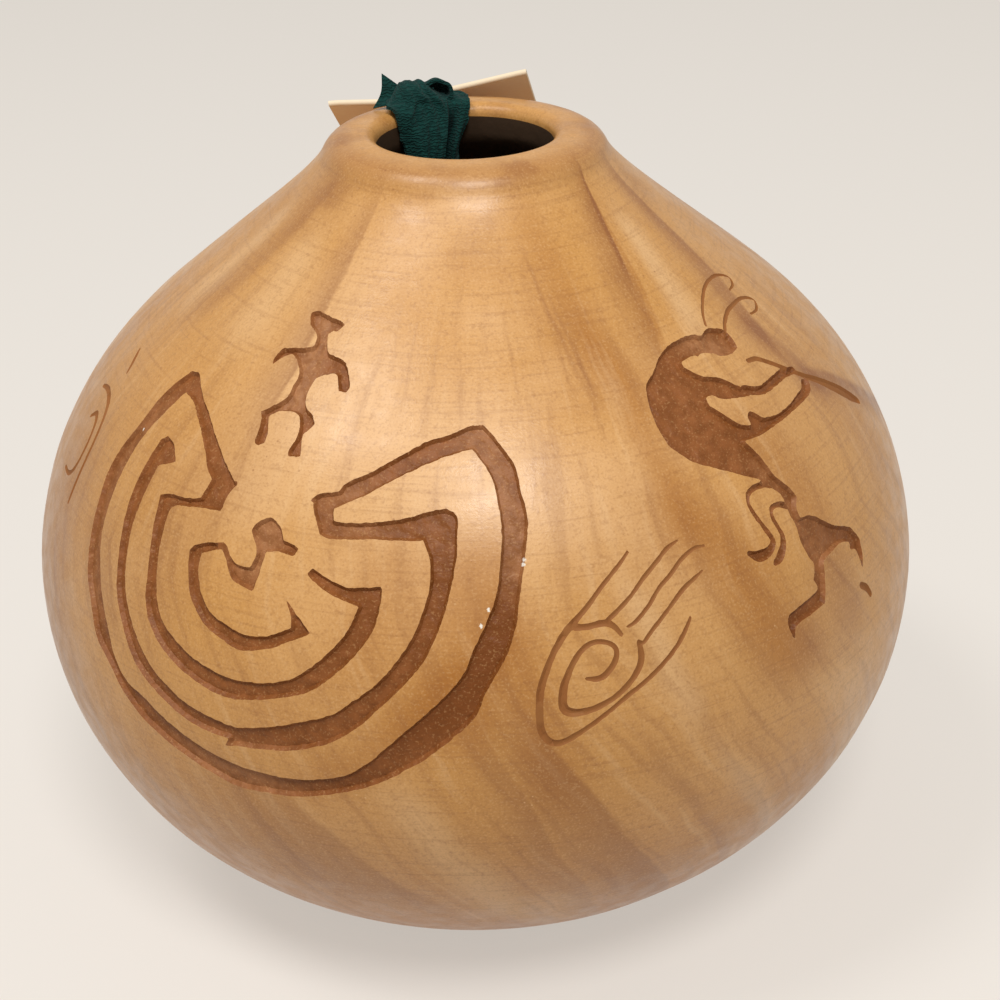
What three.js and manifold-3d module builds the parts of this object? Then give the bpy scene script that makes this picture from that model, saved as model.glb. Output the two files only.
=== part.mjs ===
// Engraved pottery vase with a cloth tie over the back of its lip and a folded card tag behind the neck.
// Millimetres, +Z up. The foot stands on z = 0 and the vase turns about the Z axis; the front faces -Y.
import * as THREE from "three";
import { TessellateModifier } from "three/addons/modifiers/TessellateModifier.js";
import { mergeVertices } from "three/addons/utils/BufferGeometryUtils.js";
import Module from "manifold-3d";

// Vase
const BELLY_RADIUS = 95;
const BELLY_HEIGHT = 69;
const FOOT_RADIUS = 45;
const SHOULDER_RADIUS = 67.8;
const SHOULDER_HEIGHT = 126;
const RIM_HEIGHT = 162.8;
const NECK_RADIUS = 28.9;
const NECK_DROP = 3.6; // how far the widest part of the lip lies below the rim
const NECK_TILT = THREE.MathUtils.degToRad(26); // of the lip's side, from upright
const SHOULDER_SWEEP = 18.4; // handle of the neck's curve at the shoulder
const NECK_SWEEP = 7.2; // handle of the neck's curve at the lip
const MOUTH_RADIUS = 17.9;
const LIP_ROUND = 2.6;
const THROAT_LENGTH = 6;
const WALL = 6;
const FLOOR = 8;
const LIP_BULGE = 0.42; // handle of the lip's outer curve, as a share of its chord

// Cloth tie
const TOUCH_GAP = 0.3; // between pieces that lie on each other
const KNOT_START = THREE.MathUtils.degToRad(87); // where the knot lies round the lip, from +X
const KNOT_END = THREE.MathUtils.degToRad(138);
const KNOT_DEPTH = 7.4;
const KNOT_HEIGHT = 5;
const KNOT_RAISE = 2.2; // of its middle above the rim
const KNOT_FOLD = 0.3; // depth of its wrapped folds
const KNOT_FOLDS = 4;
const KNOT_BLUNT = 0.6; // power that rounds the knot's ends, 1 for slim ones
const CLOTH_THICKNESS = 1;
const DROP_LENGTH = 46; // of the end that hangs in the mouth, below the rim
const DROP_CENTRE = THREE.MathUtils.degToRad(114);
const DROP_SPAN_TOP = THREE.MathUtils.degToRad(46);
const DROP_SPAN_LOW = THREE.MathUtils.degToRad(40);
const DROP_WALL_ROOM = 2; // from the throat to the middle of the cloth
const DROP_VALLEY = 0.66; // where the deep pleat lies across the cloth
const DROP_FOLD_LEFT = 3;
const DROP_FOLD_RIGHT = 2.2;
const DROP_GATHER = 8; // height over which the cloth draws together below the rim
const DROP_CROWD = 1.4; // power that crowds the cloth's rows towards the rim
const END_TIP = new THREE.Vector3(-2.6, 2.6, 4.6); // short end's upper corner, from the knot's end
const END_LOW = new THREE.Vector3(-4.8, 0.4, -1.5); // and its lower one
const END_ROOT_HEIGHT = 3;

// Card tag
const TAG_WIDTH = 43.6;
const TAG_LENGTH = 52;
const CARD_THICKNESS = 0.5;
const TAG_SIDE = -8.4; // place of the fold's middle along X
const TAG_SETBACK = 2.6; // of the fold's middle behind the lip's widest part
const TAG_RAISE = 0; // of the fold's middle above the rim
const TAG_YAW = THREE.MathUtils.degToRad(-4);
const TAG_RISE = THREE.MathUtils.degToRad(8.9);
const TAG_BEND = 2.3; // how far the card is pressed in at its bend
const TAG_BEND_AT = -6.3; // place of the bend from the tag's middle
const TAG_BEND_ROUND = 4;
const LOOP_AT = 1.4; // place of the tie's loop from the tag's middle
const LOOP_WIDTH = 3.6;
const LOOP_PULL = 0.8; // of the loop towards the fold, from the middle of its hole
const HOLE_ROOM = 0.4; // round the loop where it goes through the card
const HOLE_MARGIN = 0.3; // of card between the hole and the fold

// Carving. Points are millimetres on the unrolled outside of a vase of the drawn size: across from the front
// to the right, and up along the outline from the foot's edge. An outline is made of runs; each run starts
// at a corner and is smooth up to the next one.
const CARVE_BELLY = 95; // belly's radius and outline's length that the figures are drawn for
const CARVE_REACH = 216.4;
const CARVE_DEPTH = 0.8;
const CARVE_ROOM = 2.5; // of the cutting tools above the surface
const CARVE_STEP = 6; // longest stretch between points of an outline
const CARVE_SPAN = 9; // longest edge of a cut's floor
const MAZE_OUTER = [
  [[-55, 142.2], [-72.5, 152.7], [-84.6, 158.4], [-86.7, 159]],
  [[-89.6, 158.5], [-93.8, 150.3], [-96.8, 134.1], [-94.8, 124.9], [-91, 113.7], [-84.2, 103.2], [-75, 95.6],
    [-65, 90.3], [-51.7, 86.4], [-45.8, 85.3], [-33.3, 86.6], [-17.9, 92.2], [-7.5, 99.1], [0, 106],
    [6.2, 117], [9.8, 128.7], [12.5, 140.8], [11.1, 150.3], [7.1, 155.8]],
  [[4, 158.7], [-5, 156.8], [-15, 153.4], [-27.5, 147.2]],
  [[-29.6, 145.1], [-34.2, 144.1]],
  [[-36, 142.7]],
  [[-31, 141.4], [-23.4, 144.9], [-10, 151.2]],
  [[1, 154.1], [5.2, 148.8], [6.7, 139.5], [5.2, 128.7], [0.4, 118.7], [-5, 110.3], [-13.3, 102.4],
    [-21.2, 94.9], [-33.3, 90.6], [-46.7, 90.5], [-61.7, 94.1], [-73.8, 98.5], [-80.4, 106.6],
    [-87.1, 117.4], [-90.8, 128.7], [-90.8, 141.2], [-87.9, 149.9]],
  [[-85.7, 154.7], [-72.5, 149.5], [-64.2, 143]],
  [[-61.7, 141.8]],
];
const MAZE_SECOND = [
  [[-35.2, 143.4], [-33.3, 139.1]],
  [[-32.1, 137], [-20.8, 137.2]],
  [[-9.6, 137.6], [-7.9, 130.8], [-10.8, 121.2], [-17.9, 111.6], [-25.8, 105.3], [-38.3, 100.5], [-50, 98.9],
    [-61.7, 101.8], [-71.2, 108.7], [-77.1, 117], [-80, 127]],
  [[-79.8, 140.2]],
  [[-75, 142.2], [-78.8, 145.1]],
  [[-82.1, 145.8]],
  [[-83.6, 144.5], [-84.4, 136.2], [-82.5, 124.5], [-79.2, 114.5], [-70.8, 103.2], [-58.3, 97]],
  [[-47.1, 95.8]],
  [[-48.2, 93.8], [-33.3, 96.8], [-21.2, 103.2], [-12.5, 112], [-5.8, 122.8], [-2.9, 133.7]],
  [[-2.7, 142], [-5, 143.2]],
  [[-8.3, 142.7], [-20, 140.3]],
  [[-29.6, 139.7]],
  [[-30, 143]],
];
const MAZE_THIRD = [
  [[-55, 143]],
  [[-56.5, 140.2]],
  [[-56.8, 137], [-62.1, 136.4]],
  [[-70.7, 133.9], [-69.3, 124.5], [-66.5, 116.6], [-59.2, 110.8], [-46.7, 108], [-34.2, 110.6], [-26.2, 117.4]],
  [[-21.9, 125.2], [-25.8, 126.2]],
  [[-33.3, 129.7]],
  [[-32.3, 131], [-24.2, 128.4]],
  [[-17.5, 129.1], [-18.8, 121.2], [-26.2, 112.2], [-37.5, 106.3], [-49.2, 104.2], [-63.3, 108.7],
    [-70.2, 116.6]],
  [[-75, 135.5], [-66.7, 137.2]],
  [[-63.3, 138.2]],
  [[-62.2, 142.6]],
];
const MAZE_INNER = [
  [[-61.7, 128.4]],
  [[-60.7, 129.7], [-57.5, 130.9]],
  [[-53.6, 131.8]],
  [[-52.1, 130.8]],
  [[-58.3, 128.7], [-56.2, 122], [-49.2, 117.6], [-40, 117.4]],
  [[-35, 119.7]],
  [[-36.9, 124.7]],
  [[-30.8, 119.3], [-39.2, 115.3], [-49.2, 114.7], [-58.3, 120.3]],
];
const MAZE_BIRD = [
  [[-54.6, 131]],
  [[-52.9, 131.8], [-50.2, 129.1]],
  [[-46, 128.8]],
  [[-45.4, 132]],
  [[-47.9, 135.3], [-44.2, 138.3]],
  [[-39.8, 134.7]],
  [[-36, 133.9]],
  [[-37.1, 132.4]],
  [[-43.2, 132.2]],
  [[-44.3, 124.8], [-50, 126.3]],
];
const RUNNER = [
  [[-58.7, 178.3], [-53.3, 178.8]],
  [[-43.5, 177.3], [-46.8, 175.5]],
  [[-47.5, 173.6]],
  [[-46.2, 171.8], [-39.5, 170.2], [-35.6, 167.1]],
  [[-34.7, 163.9]],
  [[-37.3, 164], [-39.5, 167.1], [-45.8, 165.3], [-46, 161.3]],
  [[-40.6, 156.9]],
  [[-42.7, 154.6]],
  [[-41.4, 150.3]],
  [[-44.5, 149.8], [-44.1, 154.4]],
  [[-45.8, 157.8]],
  [[-52.7, 157.5], [-54.3, 156.3]],
  [[-52.2, 151.3]],
  [[-55, 150.5]],
  [[-57.5, 156.8], [-51.6, 160.9], [-51.4, 165.5], [-57.5, 169.2]],
  [[-62, 166.3], [-61.8, 169.6], [-55.2, 170.9]],
  [[-51.2, 171.9]],
  [[-52.2, 174.2], [-56.8, 176.1]],
];
const PLAYER_BODY = [
  [[49, 153.5], [50.5, 159.8], [55.5, 163.5], [67.8, 167.9], [77.1, 167.9], [84, 167.5], [91.1, 165.4]],
  [[90, 161.2], [81.7, 161.5]],
  [[72.5, 164]],
  [[66.6, 163.3], [75.2, 158.1]],
  [[83.1, 152.7]],
  [[80.9, 152.2]],
  [[70.9, 154.6]],
  [[67, 154.6]],
  [[75.5, 147.3]],
  [[77.8, 149.6]],
  [[80.9, 147.3], [94.8, 146.8]],
  [[104, 148.5]],
  [[107.1, 147.3], [94, 145.2]],
  [[70.9, 145.2], [74.4, 136.9]],
  [[77.8, 131.5]],
  [[76.2, 126.6]],
  [[74, 126.2], [73.8, 132.3], [65.5, 139.6], [55.2, 144.6], [49.8, 149.6]],
];
const PLAYER_LEGS = [
  [[74.2, 126.9], [79.8, 126.9], [89.4, 120.8]],
  [[93.1, 116.5]],
  [[91.3, 110.8]],
  [[88.5, 116.3]],
  [[89, 117.8], [79, 117.8]],
  [[76.2, 110.4]],
  [[67.1, 109.4]],
  [[65.9, 107.1]],
  [[65.5, 112.2]],
  [[74.8, 113.7]],
  [[75.7, 118.5], [74, 123.1]],
];
const CARVED_FIGURES = [
  MAZE_OUTER, MAZE_SECOND, MAZE_THIRD, MAZE_INNER, MAZE_BIRD, RUNNER, PLAYER_BODY, PLAYER_LEGS,
];

// Worked out from the sizes above
const CREST_RADIUS = MOUTH_RADIUS + LIP_ROUND;
const HOLE_RADIUS = Math.hypot(LOOP_WIDTH / 2, LOOP_PULL + CLOTH_THICKNESS / 2) + HOLE_ROOM;
const HOLE_AT = TOUCH_GAP + HOLE_MARGIN + HOLE_RADIUS; // middle of the hole, from the fold
const LOOP_RADIUS = HOLE_AT - LOOP_PULL - CLOTH_THICKNESS / 2; // inside the loop, about the fold
const CARD_STACK = CARD_THICKNESS + TOUCH_GAP / 2; // from the fold's middle plane to a leaf's outer face

// Steps of the meshes
const TURN_STEPS = 52;
const OUTSIDE_STEPS = { bowl: 9, dome: 8, neck: 7, lip: 4 };
const INSIDE_STEPS = { bowl: 7, dome: 6, neck: 5, lip: 3 };
const FINE_STEPS = { dome: 40, neck: 40, lip: 20 };
const KNOT_STEPS = { along: 22, round: 20 };
const DROP_STEPS = { across: 24, along: 20 };
const END_STEPS = { across: 10, along: 8 };
const LEAF_STEPS = { across: 16, along: 4 };
const STRAP_STEPS = { across: 2, along: 6 };
const RING_STEPS = 24;
const LEAN_STEPS = { halvings: 30, grid: 12 };
const SPLIT_ROUNDS = 8;

const wasm = await Module();
wasm.setup();

function solidOf(geometry) {
  const bare = geometry.clone();
  bare.deleteAttribute("normal");
  bare.deleteAttribute("uv");
  const merged = mergeVertices(bare, 1e-3);
  const vertProperties = merged.attributes.position.array;
  const triVerts = new Uint32Array(merged.index.array);
  return new wasm.Manifold(new wasm.Mesh({ numProp: 3, vertProperties, triVerts }));
}

function geometryOf(solid) {
  const mesh = solid.getMesh();
  const geometry = new THREE.BufferGeometry();
  geometry.setAttribute("position", new THREE.BufferAttribute(mesh.vertProperties, 3));
  geometry.setIndex(new THREE.BufferAttribute(mesh.triVerts, 1));
  geometry.computeVertexNormals();
  return geometry;
}

function cut(geometry, ...tools) {
  let solid = solidOf(geometry);
  for (const tool of tools) solid = solid.subtract(solidOf(tool));
  return geometryOf(solid);
}

function meshGeometry(points, faces) {
  const geometry = new THREE.BufferGeometry().setFromPoints(points);
  geometry.setIndex(faces);
  geometry.computeVertexNormals();
  return geometry;
}

// A sheet of points made into a closed plate: offset is its full thickness
function plate(point, offset, { across, along }) {
  const row = across + 1;
  const layer = row * (along + 1);
  const points = [];
  for (const side of [0.5, -0.5]) {
    for (let j = 0; j <= along; j++) {
      for (let i = 0; i <= across; i++) {
        const u = i / across;
        const v = j / along;
        points.push(point(u, v).addScaledVector(offset(u, v), side));
      }
    }
  }
  const faces = [];
  const quad = (a, b, c, d) => faces.push(a, b, c, a, c, d);
  const at = (i, j) => j * row + i;
  for (let j = 0; j < along; j++) {
    for (let i = 0; i < across; i++) {
      const [a, b, c, d] = [at(i, j), at(i + 1, j), at(i + 1, j + 1), at(i, j + 1)];
      quad(a, b, c, d);
      quad(d + layer, c + layer, b + layer, a + layer);
    }
    quad(at(0, j + 1), at(0, j + 1) + layer, at(0, j) + layer, at(0, j));
    quad(at(across, j), at(across, j) + layer, at(across, j + 1) + layer, at(across, j + 1));
  }
  for (let i = 0; i < across; i++) {
    quad(at(i, 0), at(i, 0) + layer, at(i + 1, 0) + layer, at(i + 1, 0));
    quad(at(i + 1, along), at(i + 1, along) + layer, at(i, along) + layer, at(i, along));
  }
  return meshGeometry(points, faces);
}

// Point round the vase's axis, by its angle from +X
function around(angle, radius, height) {
  return new THREE.Vector3(radius * Math.cos(angle), radius * Math.sin(angle), height);
}

const smooth = (value, from, to) => THREE.MathUtils.smoothstep(value, from, to);

// Half outline of a bowl and its dome: ellipses through a foot, a belly and a shoulder point
function bellyCurves(belly, foot, shoulder) {
  const share = (radius) => Math.sqrt(1 - (radius / belly) ** 2);
  const drop = (BELLY_HEIGHT - foot.y) / share(foot.x);
  const rise = (shoulder.y - BELLY_HEIGHT) / share(shoulder.x);
  const bowl = new THREE.EllipseCurve(0, BELLY_HEIGHT, belly, drop, -Math.acos(foot.x / belly), 0);
  const dome = new THREE.EllipseCurve(0, BELLY_HEIGHT, belly, rise, 0, Math.acos(shoulder.x / belly));
  return { bowl, dome };
}

function sweep(from, fromWay, fromHandle, to, toWay, toHandle) {
  const first = from.clone().addScaledVector(fromWay, fromHandle);
  const second = to.clone().addScaledVector(toWay, -toHandle);
  return new THREE.CubicBezierCurve(from, first, second, to);
}

// Outer half outline, as radius and height, from the foot up to the crest of the lip
function outerCurves() {
  const foot = new THREE.Vector2(FOOT_RADIUS, 0);
  const shoulder = new THREE.Vector2(SHOULDER_RADIUS, SHOULDER_HEIGHT);
  const neck = new THREE.Vector2(NECK_RADIUS, RIM_HEIGHT - NECK_DROP);
  const crest = new THREE.Vector2(CREST_RADIUS, RIM_HEIGHT);
  const { bowl, dome } = bellyCurves(BELLY_RADIUS, foot, shoulder);
  const neckWay = new THREE.Vector2(-Math.sin(NECK_TILT), Math.cos(NECK_TILT));
  const shoulderWay = dome.getTangent(1);
  const lipHandle = neck.distanceTo(crest) * LIP_BULGE;
  return {
    bowl,
    dome,
    neck: sweep(shoulder, shoulderWay, SHOULDER_SWEEP, neck, neckWay, NECK_SWEEP),
    lip: sweep(neck, neckWay, lipHandle, crest, new THREE.Vector2(-1, 0), lipHandle),
  };
}

// Inner half outline from the crest of the lip down to the floor
function innerCurves() {
  const outer = outerCurves();
  const way = outer.dome.getTangent(1);
  const inward = new THREE.Vector2(-way.y, way.x);
  const shoulder = outer.dome.getPoint(1).addScaledVector(inward, WALL);
  const belly = BELLY_RADIUS - WALL;
  const foot = new THREE.Vector2((FOOT_RADIUS * belly) / BELLY_RADIUS, FLOOR);
  const { bowl, dome } = bellyCurves(belly, foot, shoulder);
  const throat = new THREE.Vector2(MOUTH_RADIUS, RIM_HEIGHT - THROAT_LENGTH);
  const lipHeight = RIM_HEIGHT - LIP_ROUND;
  const up = new THREE.Vector2(0, 1);
  return {
    lip: new THREE.EllipseCurve(CREST_RADIUS, lipHeight, LIP_ROUND, LIP_ROUND, Math.PI / 2, Math.PI),
    neck: sweep(shoulder, dome.getTangent(1), SHOULDER_SWEEP, throat, up, NECK_SWEEP),
    dome,
    bowl,
  };
}

function joined(...runs) {
  return runs.flatMap((run, i) => (i ? run.slice(1) : run));
}

// Points of some curves in a row, each with its own count of steps
function traced(curves, steps, ...names) {
  return joined(...names.map((name) => curves[name].getPoints(steps[name])));
}

function turned(points) {
  return new THREE.LatheGeometry(points, TURN_STEPS).rotateX(Math.PI / 2);
}

function vaseBody() {
  const inner = innerCurves();
  const foot = [new THREE.Vector2(0, 0), new THREE.Vector2(FOOT_RADIUS, 0)];
  const outside = traced(outerCurves(), OUTSIDE_STEPS, "bowl", "dome", "neck", "lip");
  const lip = traced(inner, INSIDE_STEPS, "lip");
  const inside = traced(inner, INSIDE_STEPS, "bowl", "dome", "neck").reverse();
  const floor = new THREE.Vector2(0, FLOOR);
  return turned([...joined(foot, outside, lip), ...inside, floor]);
}

// Point above the vase's outside, by its unrolled place
const outsidePath = new THREE.CurvePath();
for (const curve of Object.values(outerCurves())) outsidePath.add(curve);

function onVase(across, up, lift) {
  const share = up / CARVE_REACH;
  const spot = outsidePath.getPoint(share);
  const way = outsidePath.getTangent(share);
  const angle = across / CARVE_BELLY - Math.PI / 2;
  return around(angle, spot.x + way.y * lift, spot.y - way.x * lift);
}

// Solid that cuts one figure out of the vase's outside, to an even depth
function carvingTool(runs) {
  const outline = runs.flatMap((run, i) => {
    const end = runs[(i + 1) % runs.length][0];
    const points = [...run, end].map(([across, up]) => new THREE.Vector2(across, up));
    const curve = new THREE.SplineCurve(points);
    const steps = Math.max(points.length - 1, Math.round(curve.getLength() / CARVE_STEP));
    return curve.getPoints(steps).slice(0, -1);
  });
  const depth = CARVE_DEPTH + CARVE_ROOM;
  const flat = new THREE.ExtrudeGeometry(new THREE.Shape(outline), { depth, bevelEnabled: false });
  const tool = new TessellateModifier(CARVE_SPAN, SPLIT_ROUNDS).modify(flat);
  const places = tool.attributes.position;
  const spot = new THREE.Vector3();
  for (let i = 0; i < places.count; i++) {
    spot.fromBufferAttribute(places, i);
    places.setXYZ(i, ...onVase(spot.x, spot.y, spot.z - CARVE_DEPTH));
  }
  return tool;
}

// The vase's neck and lip grown by the touching gap, to cut what lies on them
function neckTool() {
  const inner = innerCurves();
  const outside = traced(outerCurves(), OUTSIDE_STEPS, "neck", "lip");
  const lip = traced(inner, INSIDE_STEPS, "lip");
  const inside = traced(inner, INSIDE_STEPS, "neck").reverse();
  const run = [...joined(outside, lip), ...inside];
  const grown = run.map((point, i) => {
    const before = run[Math.max(i - 1, 0)];
    const after = run[Math.min(i + 1, run.length - 1)];
    const way = after.clone().sub(before).normalize();
    return new THREE.Vector2(point.x + way.y * TOUCH_GAP, point.y - way.x * TOUCH_GAP);
  });
  return turned([...grown, grown[0].clone()]);
}

// Signed distance from a point to the vase's outside, above the belly
const outsideLine = traced(outerCurves(), FINE_STEPS, "dome", "neck", "lip");

function roomOutside(point) {
  const spot = new THREE.Vector2(Math.hypot(point.x, point.y), point.z);
  let best = Infinity;
  let sign = 1;
  const way = new THREE.Vector2();
  for (let i = 0; i + 1 < outsideLine.length; i++) {
    const from = outsideLine[i];
    way.subVectors(outsideLine[i + 1], from);
    const share = THREE.MathUtils.clamp(spot.clone().sub(from).dot(way) / way.lengthSq(), 0, 1);
    const off = spot.clone().sub(from).addScaledVector(way, -share);
    if (off.length() < best) {
      best = off.length();
      sign = Math.sign(way.y * off.x - way.x * off.y) || 1;
    }
  }
  return best * sign;
}

// Bunched cloth that follows the lip, with its folds wound round it; grow swells it for cutting
function knot(grow) {
  const rings = KNOT_STEPS.along;
  const sides = KNOT_STEPS.round;
  const height = RIM_HEIGHT + KNOT_RAISE;
  const points = [around(KNOT_START - grow / CREST_RADIUS, CREST_RADIUS, height)];
  for (let i = 1; i < rings; i++) {
    const share = i / rings;
    const angle = THREE.MathUtils.lerp(KNOT_START, KNOT_END, 0.5 - 0.5 * Math.cos(Math.PI * share));
    const full = Math.sin(Math.PI * share) ** KNOT_BLUNT;
    for (let j = 0; j < sides; j++) {
      const turn = (j / sides) * Math.PI * 2;
      const fold = KNOT_FOLD * Math.cos(KNOT_FOLDS * turn + share * Math.PI * 2);
      const out = ((KNOT_DEPTH / 2) * full + fold * full + grow) * Math.cos(turn);
      const up = ((KNOT_HEIGHT / 2) * full + fold * full + grow) * Math.sin(turn);
      points.push(around(angle, CREST_RADIUS + out, height + up));
    }
  }
  points.push(around(KNOT_END + grow / CREST_RADIUS, CREST_RADIUS, height));
  const last = points.length - 1;
  const faces = [];
  const at = (ring, side) => 1 + ring * sides + (side % sides);
  for (let j = 0; j < sides; j++) {
    faces.push(0, at(0, j), at(0, j + 1));
    faces.push(last, at(rings - 2, j + 1), at(rings - 2, j));
    for (let i = 0; i < rings - 2; i++) {
      faces.push(at(i, j), at(i + 1, j + 1), at(i, j + 1));
      faces.push(at(i, j), at(i + 1, j), at(i + 1, j + 1));
    }
  }
  return meshGeometry(points, faces);
}

function tieKnot() {
  return cut(knot(0), neckTool());
}

// Pleated end that hangs in the mouth: a broad fold, a deep valley and a narrow fold.
// grow thickens it for cutting.
function hangingCloth(grow) {
  const top = RIM_HEIGHT + KNOT_RAISE;
  const low = RIM_HEIGHT - DROP_LENGTH;
  const height = (v) => THREE.MathUtils.lerp(top, low, v ** DROP_CROWD);
  const angle = (u, v) => {
    const drawn = smooth(RIM_HEIGHT - height(v), 0, DROP_GATHER);
    const span = THREE.MathUtils.lerp(DROP_SPAN_TOP, DROP_SPAN_LOW, drawn);
    return DROP_CENTRE + span * (0.5 - u);
  };
  const pleat = (u) => {
    const left = u < DROP_VALLEY;
    const share = left ? u / DROP_VALLEY : (u - DROP_VALLEY) / (1 - DROP_VALLEY);
    return (left ? DROP_FOLD_LEFT : DROP_FOLD_RIGHT) * (0.5 - 0.5 * Math.cos(2 * Math.PI * share));
  };
  const point = (u, v) => {
    const below = RIM_HEIGHT - height(v);
    const hung = MOUTH_RADIUS - DROP_WALL_ROOM - pleat(u) * smooth(below, -KNOT_RAISE, DROP_GATHER);
    const radius = THREE.MathUtils.lerp(CREST_RADIUS, hung, smooth(below, -KNOT_RAISE, LIP_ROUND));
    return around(angle(u, v), radius, height(v));
  };
  const offset = (u, v) => around(angle(u, v), CLOTH_THICKNESS + 2 * grow, 0);
  return plate(point, offset, DROP_STEPS);
}

function tieDrop() {
  return cut(hangingCloth(0), knot(TOUCH_GAP), neckTool());
}

// Short pointed end that stands out of the knot
function tieShortEnd() {
  const root = around(KNOT_END, CREST_RADIUS, RIM_HEIGHT + KNOT_RAISE);
  const within = around(KNOT_END - KNOT_HEIGHT / CREST_RADIUS, CREST_RADIUS, root.z);
  const corner = (from, lift) => from.clone().setZ(from.z + lift);
  const inner = [corner(within, END_ROOT_HEIGHT / 2), corner(within, -END_ROOT_HEIGHT / 2)];
  const middle = [corner(root, END_ROOT_HEIGHT / 2), corner(root, -END_ROOT_HEIGHT / 2)];
  const outer = [root.clone().add(END_TIP), root.clone().add(END_LOW)];
  const edges = [0, 1].map((side) => new THREE.CatmullRomCurve3([outer[side], middle[side], inner[side]]));
  const point = (u, v) => edges[0].getPoint(u).lerp(edges[1].getPoint(u), v);
  const offset = () => around(KNOT_END, CLOTH_THICKNESS, 0);
  return cut(plate(point, offset, END_STEPS), knot(TOUCH_GAP), hangingCloth(TOUCH_GAP), neckTool());
}

// How far the card lies below its straight fold, in the tag's frame:
// x along the fold, y down the card and z away from the vase
function bend(x) {
  const half = TAG_WIDTH / 2;
  const left = (at) => (at + half) / (TAG_BEND_AT + half);
  const right = (at) => (half - at) / (half - TAG_BEND_AT);
  const share = (at) => THREE.MathUtils.clamp(Math.min(left(at), right(at)), 0, 1);
  const near = TAG_BEND_ROUND / 2;
  return (TAG_BEND * (share(x - near) + share(x + near))) / 2;
}

const FOLD_AXIS = -bend(LOOP_AT); // height of the fold's turning axis in the tag frame

function tagPlace(lean) {
  const group = new THREE.Group();
  group.position.set(TAG_SIDE, NECK_RADIUS + TAG_SETBACK, RIM_HEIGHT + TAG_RAISE);
  group.rotation.set(-lean, -TAG_RISE, TAG_YAW, "ZYX");
  group.updateMatrixWorld(true);
  return group;
}

// The steepest lean at which the front leaf keeps the touching gap to the neck and shoulder
function restingLean() {
  let level = 0;
  let steep = Math.PI / 2;
  const steps = LEAN_STEPS.grid;
  for (let turn = 0; turn < LEAN_STEPS.halvings; turn++) {
    const lean = (level + steep) / 2;
    const place = tagPlace(lean);
    let room = Infinity;
    for (let i = 0; i <= steps; i++) {
      for (let j = 0; j <= steps; j++) {
        const x = TAG_WIDTH * (i / steps - 0.5);
        const spot = new THREE.Vector3(x, (TAG_LENGTH * j) / steps, -bend(x) - CARD_STACK);
        room = Math.min(room, roomOutside(place.localToWorld(spot)));
      }
    }
    if (room > TOUCH_GAP) level = lean;
    else steep = lean;
  }
  return level;
}

// One leaf: a bent card with its punched hole, on one side of the fold's middle plane
function tagLeaf(side) {
  const middle = side * (CARD_STACK - CARD_THICKNESS / 2);
  const point = (u, v) => {
    const x = TAG_WIDTH * (u - 0.5);
    return new THREE.Vector3(x, TOUCH_GAP + (TAG_LENGTH - TOUCH_GAP) * v, middle - bend(x));
  };
  const offset = () => new THREE.Vector3(0, 0, CARD_THICKNESS);
  const punch = new THREE.CylinderGeometry(HOLE_RADIUS, HOLE_RADIUS, TAG_LENGTH, RING_STEPS);
  punch.rotateX(Math.PI / 2).translate(LOOP_AT, HOLE_AT, 0);
  return cut(plate(point, offset, LEAF_STEPS), punch);
}

// Stretch of the tie that runs from the knot to the tag and goes round its fold, through both holes
function tieLoop(place) {
  const outer = LOOP_RADIUS + CLOTH_THICKNESS;
  const half = LOOP_WIDTH / 2;
  const section = [
    new THREE.Vector2(LOOP_RADIUS, -half),
    new THREE.Vector2(outer, -half),
    new THREE.Vector2(outer, half),
    new THREE.Vector2(LOOP_RADIUS, half),
    new THREE.Vector2(LOOP_RADIUS, -half),
  ];
  const axis = new THREE.Vector3(LOOP_AT, 0, FOLD_AXIS);
  const ring = new THREE.LatheGeometry(section, RING_STEPS);
  ring.rotateZ(Math.PI / 2).translate(axis.x, axis.y, axis.z);
  const middle = (KNOT_START + KNOT_END) / 2;
  const seat = place.worldToLocal(around(middle, CREST_RADIUS, RIM_HEIGHT + KNOT_RAISE));
  const way = seat.clone().sub(axis);
  const reach = (LOOP_RADIUS + CLOTH_THICKNESS / 2) / Math.hypot(way.y, way.z);
  const start = axis.clone().addScaledVector(way, reach);
  const across = new THREE.Vector3(LOOP_WIDTH, 0, 0);
  const strapPoint = (u, v) => start.clone().lerp(seat, v).addScaledVector(across, u - 0.5);
  const thick = new THREE.Vector3(0, -way.z, way.y).setLength(CLOTH_THICKNESS);
  const strap = plate(strapPoint, () => thick, STRAP_STEPS);
  const loop = geometryOf(solidOf(ring).add(solidOf(strap))).applyMatrix4(place.matrixWorld);
  return cut(loop, knot(TOUCH_GAP), neckTool());
}

function clayMaterial() {
  return new THREE.MeshStandardMaterial({ color: 0xb57a45, roughness: 0.45, metalness: 0 });
}

function clothMaterial() {
  return new THREE.MeshStandardMaterial({ color: 0x1f3a34, roughness: 0.95, metalness: 0 });
}

function cardMaterial() {
  return new THREE.MeshStandardMaterial({ color: 0xeadfc4, roughness: 0.85, metalness: 0 });
}

function piece(name, geometry, material) {
  const mesh = new THREE.Mesh(geometry, material);
  mesh.name = name;
  return mesh;
}

const vase = new THREE.Group();
const carved = cut(vaseBody(), ...CARVED_FIGURES.map(carvingTool));
vase.add(piece("vase_body", carved, clayMaterial()));
vase.add(piece("tie_knot", tieKnot(), clothMaterial()));
vase.add(piece("tie_drop", tieDrop(), clothMaterial()));
vase.add(piece("tie_short_end", tieShortEnd(), clothMaterial()));

const tag = tagPlace(restingLean());
tag.add(piece("tag_front_leaf", tagLeaf(-1), cardMaterial()));
tag.add(piece("tag_back_leaf", tagLeaf(1), cardMaterial()));
vase.add(piece("tie_loop", tieLoop(tag), clothMaterial()));
vase.add(tag);

export default vase;
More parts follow.
